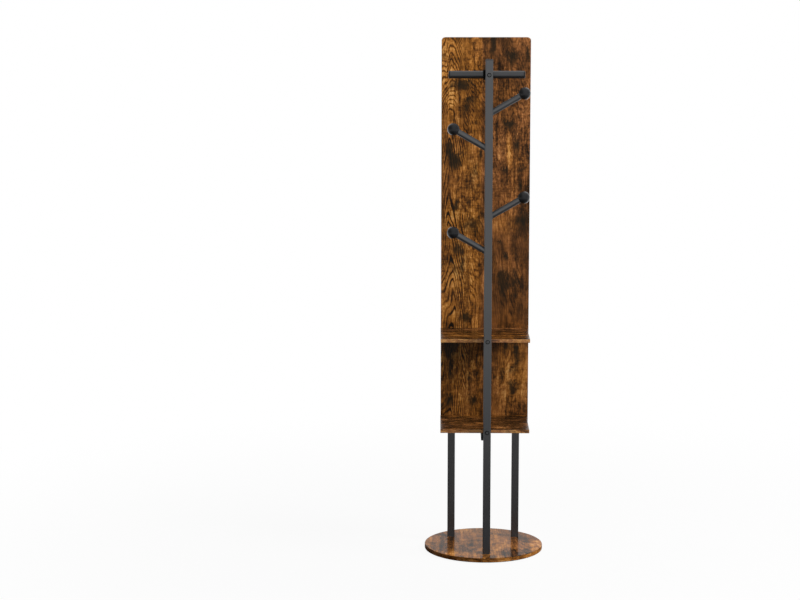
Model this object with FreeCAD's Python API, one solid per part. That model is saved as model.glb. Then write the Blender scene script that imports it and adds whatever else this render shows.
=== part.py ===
import FreeCAD
import Part
import math
import os

# Revolving mirror and coat stand, in millimetres.
# +Z is up. The coat side faces -Y and the mirrors face +Y. Left is -X, seen from the coat side.
# The origin is on the floor, on the axis that the stand turns about.

# ---------------------------------------------------------------- driving dimensions

# Turning disc
disc_diameter = 400.0
disc_thickness = 15.0
disc_edge_round = 2.0
floor_gap = 3.0  # open height between the floor and the disc's underside

# Floor plate and its feet, hidden under the disc
plate_setback = 35.0  # from the disc's rim to the plate's rim
plate_thickness = 3.0
plate_clearance = 1.0  # between the plate and the disc's pocket, above it
plate_rim_clearance = 3.0  # between the plate and the disc's pocket, round it
foot_count = 8
foot_diameter = 20.0
foot_thickness = 1.5
foot_inset = 5.0  # from the plate's rim to the foot's rim

# Ball bearing
ball_circle_diameter = 180.0
ball_count = 24
ball_diameter = 4.0
ball_clearance = 0.3
race_width = 40.0
race_thickness = 2.0
race_gap = 2.2
race_pocket_clearance = 3.0
cage_width = 10.0
cage_thickness = 1.0
race_screw_count = 8
race_screw_diameter = 4.0
race_screw_head_diameter = 8.0
race_screw_inset = 7.0  # from the race's outer rim to the screw
disc_screw_cover = 2.3  # board left above the tips of the screws in the disc

# Pivot at the centre
stud_diameter = 12.0
stud_spigot_diameter = 8.0
stud_running_clearance = 0.05  # radial
stud_end_length = 2.0  # above the retaining clip
flange_diameter = 56.0
flange_thickness = 3.0
flange_lift = 2.0  # above the floor plate
flange_screw_count = 4
flange_screw_diameter = 4.0
flange_screw_head_diameter = 8.0
flange_screw_circle = 42.0
clip_diameter = 18.0
clip_thickness = 1.0
clip_play = 0.5
clip_groove_depth = 1.0
clip_mouth_angle = 70.0
clip_pocket_clearance = 5.0
stud_top_clearance = 1.0

# Square tube of the legs, pole and rails
tube_side = 25.0
tube_wall = 1.2
tube_corner_round = 2.5
leg_spacing = 220.0
leg_setback = 26.0  # from the backboard's back face to the legs' centres
pole_offset = 7.0  # the pole stands this far right of the centre line
pole_top_height = 1663.0

# Tube ends
foot_plug_length = 10.0
foot_bolt_diameter = 8.0
foot_bolt_head_diameter = 16.0
foot_bolt_hole_clearance = 0.3
cap_head_thickness = 2.0
pole_cap_head_thickness = 3.0
cap_insert_length = 12.0
cap_edge_round = 0.8

# Boards
board_thickness = 12.0
board_edge_round = 0.8
backboard_width = 300.0
backboard_height = 1340.0
backboard_corner_round = 12.0
backboard_drop = 48.0  # from the lower shelf's top face down to the backboard's bottom
backboard_setback = 118.0  # from the turning axis to the backboard's back face
backboard_offset = 3.0  # the backboard stands this far right of the centre line
shelf_width = 296.0
shelf_depth = 242.0
lower_shelf_height = 438.0  # top face
shelf_spacing = 305.0  # from one shelf's top face to the other's

# Mirrors
mirror_thickness = 3.0
mirror_border = 4.0
mirror_corner_round = 10.0
mirror_split_lift = 4.5  # from the upper shelf's top face to the middle of the gap
mirror_split_gap = 6.4
mirror_edge_round = 0.6
tape_thickness = 0.8
tape_width = 24.0
tape_inset = 30.0
tape_strip_count = 3

# Board screws and bolts
board_screw_diameter = 5.0
board_screw_head_diameter = 10.0
board_screw_length = 50.0
board_screw_spacing = 200.0
rail_bolt_diameter = 6.0
rail_bolt_head_diameter = 12.0
rail_plug_length = 15.0
frame_screw_diameter = 3.8
frame_screw_head_diameter = 8.0
frame_screw_head_height = 2.5
frame_screw_bite = 9.0
frame_screw_hole_clearance = 0.2
frame_access_diameter = 10.0
frame_screw_span = 120.0  # between the two screws in the centre rail
frame_screw_setback = 78.0  # from the backboard's back face to the nearer of those two
pole_bolt_diameter = 6.0
pole_bolt_head_diameter = 14.0
pole_bolt_head_height = 2.6
pole_bolt_head_round = 1.2
pole_bolt_socket = 4.0  # across flats
pole_bolt_socket_depth = 1.8
pole_bolt_hole_clearance = 0.2
sleeve_diameter = 8.0
sleeve_length = 20.0
sleeve_end_gap = 2.0  # between the bolt's tip and the sleeve's end

# Crossbar
crossbar_diameter = 25.0
crossbar_wall = 1.5
crossbar_length = 250.0  # over its end caps
crossbar_drop = 51.0  # from the pole's top down to the bar's axis
crossbar_cap_length = 5.0
crossbar_cap_round = 4.0
crossbar_plug_length = 20.0
crossbar_bolt_reach = 6.0  # past the bar's axis
saddle_width = 25.0
saddle_height = 33.0
saddle_depth = 10.0
saddle_web = 4.0  # between the pole and the bar
saddle_corner_round = 3.0

# Hooks
hook_arm_diameter = 20.0
hook_arm_wall = 1.5
hook_angle = 30.0  # above the horizontal
hook_reach = 115.0  # from the pole's axis to the ball's centre
hook_ball_diameter = 40.0
hook_first_drop = 119.0  # from the crossbar's axis down to the highest arm's root
hook_pair_drop = 116.0  # from a right arm to the left arm below it
hook_pair_pitch = 338.0  # from one pair to the next
hook_pair_count = 2
hook_stud_diameter = 6.0
hook_stud_bite = 12.0  # in the ball and in the arm's plug alike
hook_plug_length = 14.0
ball_hole_spare = 1.0

# Screw recesses
small_recess_diameter = 2.2
large_recess_diameter = 5.0
recess_depth = 1.2

# Fits
thread_clearance = 0.05  # radial, between a thread and its hole
insert_clearance = 0.1  # between an insert and the tube or pocket round it
saddle_clearance = 0.3
past = 1.0  # how far a cutting shape runs past the face it cuts

# ---------------------------------------------------------------- places worked out from them

X_AXIS = FreeCAD.Vector(1, 0, 0)
Y_AXIS = FreeCAD.Vector(0, 1, 0)
Z_AXIS = FreeCAD.Vector(0, 0, 1)

disc_bottom = floor_gap
disc_top = floor_gap + disc_thickness
plate_bottom = foot_thickness
plate_top = plate_bottom + plate_thickness
plate_radius = disc_diameter / 2 - plate_setback
plate_pocket_top = plate_top + plate_clearance
lower_race_top = plate_top + race_thickness
ball_height = lower_race_top + race_gap / 2
upper_race_bottom = lower_race_top + race_gap
upper_race_top = upper_race_bottom + race_thickness
ball_circle_radius = ball_circle_diameter / 2
race_inner_radius = ball_circle_radius - race_width / 2
race_outer_radius = ball_circle_radius + race_width / 2
race_screw_radius = race_outer_radius - race_screw_inset
disc_screw_tip = disc_top - disc_screw_cover

flange_bottom = plate_top + flange_lift
flange_top = flange_bottom + flange_thickness
clip_bottom = flange_top + clip_play
clip_top = clip_bottom + clip_thickness
stud_top = clip_top + stud_end_length
clip_pocket_radius = clip_diameter / 2 + clip_pocket_clearance

tube_inner_side = tube_side - 2 * tube_wall
tube_inner_round = max(tube_corner_round - tube_wall, 0.3)

backboard_back = backboard_setback
backboard_front = backboard_back + board_thickness
backboard_bottom = lower_shelf_height - backboard_drop
backboard_top = backboard_bottom + backboard_height
upper_shelf_height = lower_shelf_height + shelf_spacing
shelf_front = backboard_back - shelf_depth
lower_shelf_bottom = lower_shelf_height - board_thickness
pole_y = shelf_front - tube_side / 2
pole_front = shelf_front - tube_side
leg_y = backboard_back - leg_setback
leg_x = leg_spacing / 2
rail_z = lower_shelf_bottom - tube_side / 2
rail_roof = lower_shelf_bottom - tube_wall

mirror_back = backboard_front + tape_thickness
mirror_width = backboard_width - 2 * mirror_border
mirror_low = backboard_bottom + mirror_border
mirror_high = backboard_top - mirror_border
mirror_split = upper_shelf_height + mirror_split_lift
lower_mirror_top = mirror_split - mirror_split_gap / 2
upper_mirror_bottom = mirror_split + mirror_split_gap / 2

crossbar_height = pole_top_height - crossbar_drop
crossbar_y = shelf_front + saddle_web + crossbar_diameter / 2
crossbar_inner_radius = crossbar_diameter / 2 - crossbar_wall

posts = {
    "leg_left": (-leg_x, leg_y),
    "leg_right": (leg_x, leg_y),
    "coat_pole": (pole_offset, pole_y),
}
shelf_middles = [lower_shelf_height - board_thickness / 2, upper_shelf_height - board_thickness / 2]


# ---------------------------------------------------------------- small helpers

def point(x, y, z):
    return FreeCAD.Vector(x, y, z)


def box(low, high):
    size = high - low
    return Part.makeBox(size.x, size.y, size.z, low)


def rod(radius, start, end):
    return Part.makeCylinder(radius, (end - start).Length, start, end - start)


def taper(start_radius, end_radius, start, end):
    return Part.makeCone(start_radius, end_radius, (end - start).Length, start, end - start)


def ring(outer_radius, inner_radius, bottom, top):
    outer = rod(outer_radius, point(0, 0, bottom), point(0, 0, top))
    return outer.cut(rod(inner_radius, point(0, 0, bottom - past), point(0, 0, top + past)))


def edges_along(shape, axis):
    """The straight edges of a shape that run along an axis."""
    found = []
    for edge in shape.Edges:
        ends = edge.Vertexes
        if len(ends) == 2:
            run = ends[1].Point - ends[0].Point
            if run.Length > 1e-6 and abs(abs(run.dot(axis)) - run.Length) < 1e-6:
                found.append(edge)
    return found


def edges_on_plane(shape, axis, level):
    """The edges of a shape that lie in the plane at this level along an axis."""
    found = []
    for edge in shape.Edges:
        box_of_edge = edge.BoundBox
        lowest = point(box_of_edge.XMin, box_of_edge.YMin, box_of_edge.ZMin).dot(axis)
        highest = point(box_of_edge.XMax, box_of_edge.YMax, box_of_edge.ZMax).dot(axis)
        if abs(lowest - level) < 1e-3 and abs(highest - level) < 1e-3:
            found.append(edge)
    return found


def turned_copies(shape, count):
    """Copies of a shape, spaced evenly round the turning axis."""
    copies = []
    for index in range(count):
        copy = shape.copy()
        copy.rotate(point(0, 0, 0), Z_AXIS, index * 360.0 / count)
        copies.append(copy)
    return copies


def cut_all(shape, tools):
    for tool in tools:
        shape = shape.cut(tool)
    return shape


def square_bar(side, corner_round, start, end):
    """A square bar with rounded corners, from one point to another along X, Y or Z."""
    length = (end - start).Length
    bar = box(point(-side / 2, -side / 2, 0), point(side / 2, side / 2, length))
    bar = bar.makeFillet(corner_round, edges_along(bar, Z_AXIS))
    bar.Placement = FreeCAD.Placement(start, FreeCAD.Rotation(Z_AXIS, end - start))
    return bar


def square_tube(start, end):
    outer = square_bar(tube_side, tube_corner_round, start, end)
    run = (end - start).normalize() * past
    inner = square_bar(tube_inner_side, tube_inner_round, start - run, end + run)
    return outer.cut(inner)


def tube_insert(start, end):
    """A plug that fills the inside of a square tube."""
    return square_bar(tube_inner_side - 2 * insert_clearance, tube_inner_round, start, end)


def tube_cap(mouth, outward, head_thickness):
    """A plastic cap: a head that covers the tube's end, and an insert that grips inside it."""
    head = square_bar(tube_side, tube_corner_round, mouth, mouth + outward * head_thickness)
    return head.fuse(tube_insert(mouth - outward * cap_insert_length, mouth)).removeSplitter()


def countersunk(head_diameter, shank_diameter, recess_diameter, start, tip):
    """A countersunk screw with a round recess. Its flat head lies at start, and it points at tip."""
    head_radius = head_diameter / 2
    shank_radius = shank_diameter / 2
    direction = (tip - start).normalize()
    head = taper(head_radius, shank_radius, start, start + direction * (head_radius - shank_radius))
    recess = rod(recess_diameter / 2, start - direction * past, start + direction * recess_depth)
    return head.fuse(rod(shank_radius, start, tip)).cut(recess).removeSplitter()


def countersink(head_diameter, shank_diameter, clearance, start, tip):
    """The hole for a countersunk screw. It opens at start and ends a clearance past the tip."""
    head_radius = head_diameter / 2
    shank_radius = shank_diameter / 2
    direction = (tip - start).normalize()
    head_end = start + direction * (head_radius - shank_radius)
    seat = taper(head_radius + clearance, shank_radius + clearance, start, head_end)
    return seat.fuse(rod(shank_radius + clearance, start - direction * past, tip + direction * clearance))


# ---------------------------------------------------------------- base: plate, feet, bearing, pivot

def rubber_feet():
    radius = plate_radius - foot_inset - foot_diameter / 2
    foot = rod(foot_diameter / 2, point(radius, 0, 0), point(radius, 0, foot_thickness))
    return Part.makeCompound(turned_copies(foot, foot_count))


def race_screw_at(height):
    return point(race_screw_radius, 0, height)


def lower_race_hole():
    return countersink(race_screw_head_diameter, race_screw_diameter, thread_clearance,
                       race_screw_at(plate_bottom), race_screw_at(lower_race_top))


def upper_race_hole():
    return countersink(race_screw_head_diameter, race_screw_diameter, thread_clearance,
                       race_screw_at(upper_race_bottom), race_screw_at(disc_screw_tip))


def lower_race_screws():
    screw = countersunk(race_screw_head_diameter, race_screw_diameter, small_recess_diameter,
                        race_screw_at(plate_bottom), race_screw_at(lower_race_top))
    return Part.makeCompound(turned_copies(screw, race_screw_count))


def upper_race_screws():
    screw = countersunk(race_screw_head_diameter, race_screw_diameter, small_recess_diameter,
                        race_screw_at(upper_race_bottom), race_screw_at(disc_screw_tip))
    return Part.makeCompound(turned_copies(screw, race_screw_count))


def base_plate():
    plate = rod(plate_radius, point(0, 0, plate_bottom), point(0, 0, plate_top))
    spigot = rod(stud_spigot_diameter / 2 + thread_clearance, point(0, 0, plate_bottom - past),
                 point(0, 0, plate_top + past))
    return cut_all(plate, [spigot] + turned_copies(lower_race_hole(), race_screw_count))


def ball_groove():
    groove_radius = ball_diameter / 2 + ball_clearance
    return Part.makeTorus(ball_circle_radius, groove_radius, point(0, 0, ball_height), Z_AXIS)


def lower_race():
    race = ring(race_outer_radius, race_inner_radius, plate_top, lower_race_top).cut(ball_groove())
    return cut_all(race, turned_copies(lower_race_hole(), race_screw_count))


def bearing_balls():
    ball = Part.makeSphere(ball_diameter / 2, point(ball_circle_radius, 0, ball_height))
    return Part.makeCompound(turned_copies(ball, ball_count))


def ball_cage():
    half = cage_thickness / 2
    outer_radius = ball_circle_radius + cage_width / 2
    inner_radius = ball_circle_radius - cage_width / 2
    cage = ring(outer_radius, inner_radius, ball_height - half, ball_height + half)
    radius = ball_diameter / 2 + ball_clearance
    window = rod(radius, point(ball_circle_radius, 0, ball_height - half - past),
                 point(ball_circle_radius, 0, ball_height + half + past))
    return cut_all(cage, turned_copies(window, ball_count))


def upper_race():
    race = ring(race_outer_radius, race_inner_radius, upper_race_bottom, upper_race_top).cut(ball_groove())
    return cut_all(race, turned_copies(upper_race_hole(), race_screw_count))


def pivot_stud():
    spigot = rod(stud_spigot_diameter / 2, point(0, 0, plate_bottom), point(0, 0, plate_top))
    stem = rod(stud_diameter / 2, point(0, 0, plate_top), point(0, 0, stud_top))
    groove_radius = stud_diameter / 2 - clip_groove_depth
    groove = ring(stud_diameter, groove_radius, clip_bottom - thread_clearance, clip_top + thread_clearance)
    return spigot.fuse(stem).cut(groove).removeSplitter()


def retaining_clip():
    inner_radius = stud_diameter / 2 - clip_groove_depth + thread_clearance
    clip = ring(clip_diameter / 2, inner_radius, clip_bottom, clip_top)
    half_mouth = clip_diameter * math.tan(math.radians(clip_mouth_angle / 2))
    low = clip_bottom - past
    corners = [point(0, 0, low), point(clip_diameter, half_mouth, low), point(clip_diameter, -half_mouth, low),
               point(0, 0, low)]
    mouth = Part.Face(Part.makePolygon(corners)).extrude(Z_AXIS * (clip_thickness + 2 * past))
    return clip.cut(mouth)


def flange_screw_at(height):
    return point(flange_screw_circle / 2, 0, height)


def flange_screw_hole():
    return countersink(flange_screw_head_diameter, flange_screw_diameter, thread_clearance,
                       flange_screw_at(flange_bottom), flange_screw_at(disc_screw_tip))


def pivot_flange():
    bore_radius = stud_diameter / 2 + stud_running_clearance
    flange = ring(flange_diameter / 2, bore_radius, flange_bottom, flange_top)
    return cut_all(flange, turned_copies(flange_screw_hole(), flange_screw_count))


def pivot_flange_screws():
    screw = countersunk(flange_screw_head_diameter, flange_screw_diameter, small_recess_diameter,
                        flange_screw_at(flange_bottom), flange_screw_at(disc_screw_tip))
    return Part.makeCompound(turned_copies(screw, flange_screw_count))


# ---------------------------------------------------------------- turning disc

def foot_bolt_cut(x, y):
    """Room for a foot bolt: an open way from below, its countersink and its hole through the disc."""
    start = point(x, y, plate_pocket_top)
    hole = countersink(foot_bolt_head_diameter, foot_bolt_diameter, foot_bolt_hole_clearance, start,
                       point(x, y, disc_top))
    way_radius = foot_bolt_head_diameter / 2 + foot_bolt_hole_clearance
    return hole.fuse(rod(way_radius, point(x, y, disc_bottom - past), start))


def turntable_disc():
    disc = rod(disc_diameter / 2, point(0, 0, disc_bottom), point(0, 0, disc_top))
    rims = edges_on_plane(disc, Z_AXIS, disc_bottom) + edges_on_plane(disc, Z_AXIS, disc_top)
    disc = disc.makeFillet(disc_edge_round, rims)
    below = disc_bottom - past
    plate_pocket = rod(plate_radius + plate_rim_clearance, point(0, 0, below), point(0, 0, plate_pocket_top))
    race_pocket = ring(race_outer_radius + race_pocket_clearance, race_inner_radius - race_pocket_clearance,
                       below, upper_race_top)
    flange_pocket = rod(flange_diameter / 2 + insert_clearance, point(0, 0, below), point(0, 0, flange_top))
    clip_pocket = rod(clip_pocket_radius, point(0, 0, below), point(0, 0, stud_top + stud_top_clearance))
    disc = cut_all(disc, [plate_pocket, race_pocket, flange_pocket, clip_pocket])
    disc = cut_all(disc, turned_copies(upper_race_hole(), race_screw_count))
    disc = cut_all(disc, turned_copies(flange_screw_hole(), flange_screw_count))
    return cut_all(disc, [foot_bolt_cut(x, y) for x, y in posts.values()])


# ---------------------------------------------------------------- steel frame

def foot_plug(x, y):
    top = disc_top + foot_plug_length
    plug = tube_insert(point(x, y, disc_top), point(x, y, top))
    thread_radius = foot_bolt_diameter / 2 + thread_clearance
    return plug.cut(rod(thread_radius, point(x, y, disc_top - past), point(x, y, top + past)))


def foot_plugs():
    return Part.makeCompound([foot_plug(x, y) for x, y in posts.values()])


def foot_bolts():
    bolts = []
    for x, y in posts.values():
        bolts.append(countersunk(foot_bolt_head_diameter, foot_bolt_diameter, large_recess_diameter,
                                 point(x, y, plate_pocket_top), point(x, y, disc_top + foot_plug_length)))
    return Part.makeCompound(bolts)


def leg(x, y):
    return square_tube(point(x, y, disc_top), point(x, y, lower_shelf_bottom - cap_head_thickness))


def leg_top_caps():
    mouth = lower_shelf_bottom - cap_head_thickness
    caps = [tube_cap(point(x, leg_y, mouth), Z_AXIS, cap_head_thickness) for x in (-leg_x, leg_x)]
    return Part.makeCompound(caps)


def pole_bolt_hole(height, reach):
    radius = pole_bolt_diameter / 2 + pole_bolt_hole_clearance
    return rod(radius, point(pole_offset, pole_front - past, height), point(pole_offset, reach, height))


def coat_pole():
    top = pole_top_height - pole_cap_head_thickness
    pole = square_tube(point(pole_offset, pole_y, disc_top), point(pole_offset, pole_y, top))
    heights = shelf_middles + [crossbar_height]
    return cut_all(pole, [pole_bolt_hole(height, shelf_front + past) for height in heights])


def pole_top_cap():
    mouth = point(pole_offset, pole_y, pole_top_height - pole_cap_head_thickness)
    cap = tube_cap(mouth, Z_AXIS, pole_cap_head_thickness)
    return cap.makeFillet(cap_edge_round, edges_on_plane(cap, Z_AXIS, pole_top_height))


def frame_screw_places():
    """Where screws rise from the rails into the lower shelf."""
    rear_y = backboard_back - frame_screw_setback
    cross_x = leg_x / 2
    return {
        "centre_rail": [(0, rear_y - frame_screw_span), (0, rear_y)],
        "cross_rail_left": [(-cross_x, leg_y)],
        "cross_rail_right": [(cross_x, leg_y)],
    }


def with_screw_holes(rail, name):
    for x, y in frame_screw_places()[name]:
        hole_radius = frame_screw_diameter / 2 + frame_screw_hole_clearance
        rail = rail.cut(rod(hole_radius, point(x, y, rail_z), point(x, y, lower_shelf_bottom + past)))
        rail = rail.cut(rod(frame_access_diameter / 2, point(x, y, rail_z - tube_side), point(x, y, rail_z)))
    return rail


def centre_rail():
    front = shelf_front + cap_head_thickness
    rail = square_tube(point(0, front, rail_z), point(0, backboard_back, rail_z))
    return with_screw_holes(rail, "centre_rail")


def centre_rail_cap():
    return tube_cap(point(0, shelf_front + cap_head_thickness, rail_z), -Y_AXIS, cap_head_thickness)


def centre_rail_plug():
    front = backboard_back - rail_plug_length
    plug = tube_insert(point(0, front, rail_z), point(0, backboard_back, rail_z))
    thread_radius = rail_bolt_diameter / 2 + thread_clearance
    return plug.cut(rod(thread_radius, point(0, front - past, rail_z), point(0, backboard_back + past, rail_z)))


def cross_rail(side):
    """The rail from the centre rail to a leg. side is -1 for the left and 1 for the right."""
    start = point(side * tube_side / 2, leg_y, rail_z)
    end = point(side * (leg_x - tube_side / 2), leg_y, rail_z)
    name = "cross_rail_left" if side < 0 else "cross_rail_right"
    return with_screw_holes(square_tube(start, end), name)


def frame_screws():
    screws = []
    for places in frame_screw_places().values():
        for x, y in places:
            head = rod(frame_screw_head_diameter / 2, point(x, y, rail_roof - frame_screw_head_height),
                       point(x, y, rail_roof))
            shank = rod(frame_screw_diameter / 2, point(x, y, rail_roof),
                        point(x, y, lower_shelf_bottom + frame_screw_bite))
            screws.append(head.fuse(shank).removeSplitter())
    return Part.makeCompound(screws)


# ---------------------------------------------------------------- boards and mirrors

def shelf(height):
    """A shelf board, whose top face is at this height."""
    bottom = height - board_thickness
    middle = height - board_thickness / 2
    half = shelf_width / 2
    board = box(point(-half, shelf_front, bottom), point(half, backboard_back, height))
    board = board.makeFillet(board_edge_round, board.Edges)
    sleeve_radius = sleeve_diameter / 2 + thread_clearance
    sleeve_hole = rod(sleeve_radius, point(pole_offset, shelf_front - past, middle),
                      point(pole_offset, shelf_front + sleeve_length, middle))
    return cut_all(board, [sleeve_hole] + [board_screw_hole(x, middle) for x in board_screw_xs()])


def lower_shelf():
    board = shelf(lower_shelf_height)
    for places in frame_screw_places().values():
        for x, y in places:
            hole_radius = frame_screw_diameter / 2 + thread_clearance
            top = lower_shelf_bottom + frame_screw_bite + thread_clearance
            board = board.cut(rod(hole_radius, point(x, y, lower_shelf_bottom - past), point(x, y, top)))
    return board


def board_screw_xs():
    return [-board_screw_spacing / 2, board_screw_spacing / 2]


def board_screw_ends(x, height):
    return point(x, backboard_front, height), point(x, backboard_front - board_screw_length, height)


def board_screw_hole(x, height):
    return countersink(board_screw_head_diameter, board_screw_diameter, thread_clearance,
                       *board_screw_ends(x, height))


def board_screws():
    screws = []
    for height in shelf_middles:
        for x in board_screw_xs():
            screws.append(countersunk(board_screw_head_diameter, board_screw_diameter, small_recess_diameter,
                                      *board_screw_ends(x, height)))
    return Part.makeCompound(screws)


def rail_bolt_ends():
    return point(0, backboard_front, rail_z), point(0, backboard_back - rail_plug_length, rail_z)


def rail_bolt():
    return countersunk(rail_bolt_head_diameter, rail_bolt_diameter, small_recess_diameter, *rail_bolt_ends())


def upright_board(width, low, high, back, front):
    """A plain upright board, centred where the backboard is."""
    half = width / 2
    return box(point(backboard_offset - half, back, low), point(backboard_offset + half, front, high))


def corner_rounded(board, radius, level):
    """Rounds the two corners of an upright board at this height."""
    corners = [edge for edge in edges_along(board, Y_AXIS) if abs(edge.BoundBox.ZMin - level) < 1e-3]
    return board.makeFillet(radius, corners)


def rim_softened(board, radius, back, front):
    """Rounds the sharp rims of an upright board's back and front faces."""
    rims = edges_on_plane(board, Y_AXIS, back) + edges_on_plane(board, Y_AXIS, front)
    return board.makeFillet(radius, rims)


def backboard():
    board = upright_board(backboard_width, backboard_bottom, backboard_top, backboard_back, backboard_front)
    board = corner_rounded(board, backboard_corner_round, backboard_bottom)
    board = corner_rounded(board, backboard_corner_round, backboard_top)
    board = rim_softened(board, board_edge_round, backboard_back, backboard_front)
    holes = [board_screw_hole(x, height) for height in shelf_middles for x in board_screw_xs()]
    holes.append(countersink(rail_bolt_head_diameter, rail_bolt_diameter, thread_clearance, *rail_bolt_ends()))
    return cut_all(board, holes)


def mirror(low, high, rounded_level):
    """A mirror from low to high. Its two corners at rounded_level are rounded, and the others are square."""
    front = mirror_back + mirror_thickness
    glass = upright_board(mirror_width, low, high, mirror_back, front)
    glass = corner_rounded(glass, mirror_corner_round, rounded_level)
    return rim_softened(glass, mirror_edge_round, mirror_back, front)


def mirror_tape(low, high):
    """Strips of double-sided tape between a mirror and the backboard."""
    pitch = (mirror_width - 2 * tape_inset - tape_width) / (tape_strip_count - 1)
    strips = []
    for index in range(tape_strip_count):
        x = backboard_offset + (index - (tape_strip_count - 1) / 2) * pitch
        strips.append(box(point(x - tape_width / 2, backboard_front, low + tape_inset),
                          point(x + tape_width / 2, mirror_back, high - tape_inset)))
    return Part.makeCompound(strips)


# ---------------------------------------------------------------- pole bolts

def pole_bolt(height, tip):
    """A flat-headed bolt with a hexagon socket, from the pole's front to its tip."""
    base = point(pole_offset, pole_front, height)
    head = rod(pole_bolt_head_diameter / 2, base, base - Y_AXIS * pole_bolt_head_height)
    front = pole_front - pole_bolt_head_height
    head = head.makeFillet(pole_bolt_head_round, edges_on_plane(head, Y_AXIS, front))
    corner = pole_bolt_socket / math.sqrt(3)
    corners = [point(pole_offset + corner * math.cos(math.radians(60 * k)), front - past,
                     height + corner * math.sin(math.radians(60 * k))) for k in range(7)]
    socket = Part.Face(Part.makePolygon(corners)).extrude(Y_AXIS * (pole_bolt_socket_depth + past))
    shank = rod(pole_bolt_diameter / 2, base, point(pole_offset, tip, height))
    return head.fuse(shank).cut(socket).removeSplitter()


def shelf_bolts():
    tip = shelf_front + sleeve_length - sleeve_end_gap
    return Part.makeCompound([pole_bolt(height, tip) for height in shelf_middles])


def shelf_sleeves():
    sleeves = []
    for height in shelf_middles:
        start = point(pole_offset, shelf_front, height)
        end = start + Y_AXIS * sleeve_length
        thread = rod(pole_bolt_diameter / 2 + thread_clearance, start - Y_AXIS * past, end + Y_AXIS * past)
        sleeves.append(rod(sleeve_diameter / 2, start, end).cut(thread))
    return Part.makeCompound(sleeves)


# ---------------------------------------------------------------- crossbar

def crossbar_point(x):
    return point(x, crossbar_y, crossbar_height)


def crossbar():
    half = crossbar_length / 2 - crossbar_cap_length
    tube = rod(crossbar_diameter / 2, crossbar_point(-half), crossbar_point(half))
    tube = tube.cut(rod(crossbar_inner_radius, crossbar_point(-half - past), crossbar_point(half + past)))
    return tube.cut(pole_bolt_hole(crossbar_height, crossbar_y))


def crossbar_cap(side):
    mouth = side * (crossbar_length / 2 - crossbar_cap_length)
    tip = side * crossbar_length / 2
    head = rod(crossbar_diameter / 2, crossbar_point(mouth), crossbar_point(tip))
    head = head.makeFillet(crossbar_cap_round, edges_on_plane(head, X_AXIS, tip))
    insert = rod(crossbar_inner_radius - insert_clearance, crossbar_point(mouth),
                 crossbar_point(mouth - side * cap_insert_length))
    return head.fuse(insert).removeSplitter()


def crossbar_saddle():
    half_height = saddle_height / 2
    block = box(point(-saddle_width / 2, shelf_front, crossbar_height - half_height),
                point(saddle_width / 2, shelf_front + saddle_depth, crossbar_height + half_height))
    block = block.makeFillet(saddle_corner_round, edges_along(block, X_AXIS))
    seat = rod(crossbar_diameter / 2 + saddle_clearance, crossbar_point(-saddle_width), crossbar_point(saddle_width))
    return block.cut(seat).cut(pole_bolt_hole(crossbar_height, crossbar_y))


def crossbar_plug():
    half = crossbar_plug_length / 2
    plug = rod(crossbar_inner_radius - insert_clearance, crossbar_point(pole_offset - half),
               crossbar_point(pole_offset + half))
    thread_radius = pole_bolt_diameter / 2 + thread_clearance
    reach = crossbar_y + crossbar_bolt_reach + thread_clearance
    return plug.cut(rod(thread_radius, point(pole_offset, pole_front, crossbar_height),
                        point(pole_offset, reach, crossbar_height)))


def crossbar_bolt():
    return pole_bolt(crossbar_height, crossbar_y + crossbar_bolt_reach)


# ---------------------------------------------------------------- hooks

class Hook:
    """One hook: where it starts on the pole's side, which way it points, and where its ball is."""

    def __init__(self, name, side, root_height):
        angle = math.radians(hook_angle)
        self.name = name
        self.side = side
        self.direction = point(side * math.cos(angle), 0, math.sin(angle))
        self.root = point(pole_offset + side * tube_side / 2, pole_y, root_height)
        reach = (hook_reach - tube_side / 2) / math.cos(angle)
        self.ball_centre = self.root + self.direction * reach
        self.flat_angle = math.acos(hook_arm_diameter / hook_ball_diameter)
        self.arm_end = self.ball_centre - self.direction * (hook_ball_diameter / 2 * math.sin(self.flat_angle))


def all_hooks():
    hooks = []
    for pair in range(hook_pair_count):
        height = crossbar_height - hook_first_drop - pair * hook_pair_pitch
        hooks.append(Hook("right_%d" % (pair + 1), 1, height))
        hooks.append(Hook("left_%d" % (pair + 1), -1, height - hook_pair_drop))
    return hooks


def hook_arm(hook):
    """A round tube, cut to lie flat on the pole's side."""
    behind = hook.root - hook.direction * hook_arm_diameter
    arm = rod(hook_arm_diameter / 2, behind, hook.arm_end)
    inner_radius = hook_arm_diameter / 2 - hook_arm_wall
    arm = arm.cut(rod(inner_radius, behind - hook.direction * past, hook.arm_end + hook.direction * past))
    size = 2 * hook_arm_diameter
    start_x = hook.root.x if hook.side < 0 else hook.root.x - size
    pole_side = box(point(start_x, pole_y - size, hook.root.z - size),
                    point(start_x + size, pole_y + size, hook.root.z + size))
    return arm.cut(pole_side)


def hook_plug(hook):
    end = hook.arm_end
    radius = hook_arm_diameter / 2 - hook_arm_wall - insert_clearance
    inner_end = end - hook.direction * hook_plug_length
    thread_radius = hook_stud_diameter / 2 + thread_clearance
    thread = rod(thread_radius, inner_end - hook.direction * past, end + hook.direction * past)
    return rod(radius, inner_end, end).cut(thread)


def hook_stud(hook):
    return rod(hook_stud_diameter / 2, hook.arm_end - hook.direction * hook_stud_bite,
               hook.arm_end + hook.direction * hook_stud_bite)


def hook_ball(hook):
    """A ball with a flat as wide as the arm that meets it, and a threaded hole for the stud."""
    ball = Part.makeSphere(hook_ball_diameter / 2, hook.ball_centre, hook.direction,
                           -math.degrees(hook.flat_angle), 90, 360)
    thread_radius = hook_stud_diameter / 2 + thread_clearance
    bottom = hook.arm_end + hook.direction * (hook_stud_bite + ball_hole_spare)
    return ball.cut(rod(thread_radius, hook.arm_end - hook.direction * past, bottom))


# ---------------------------------------------------------------- all the sub-parts

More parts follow.
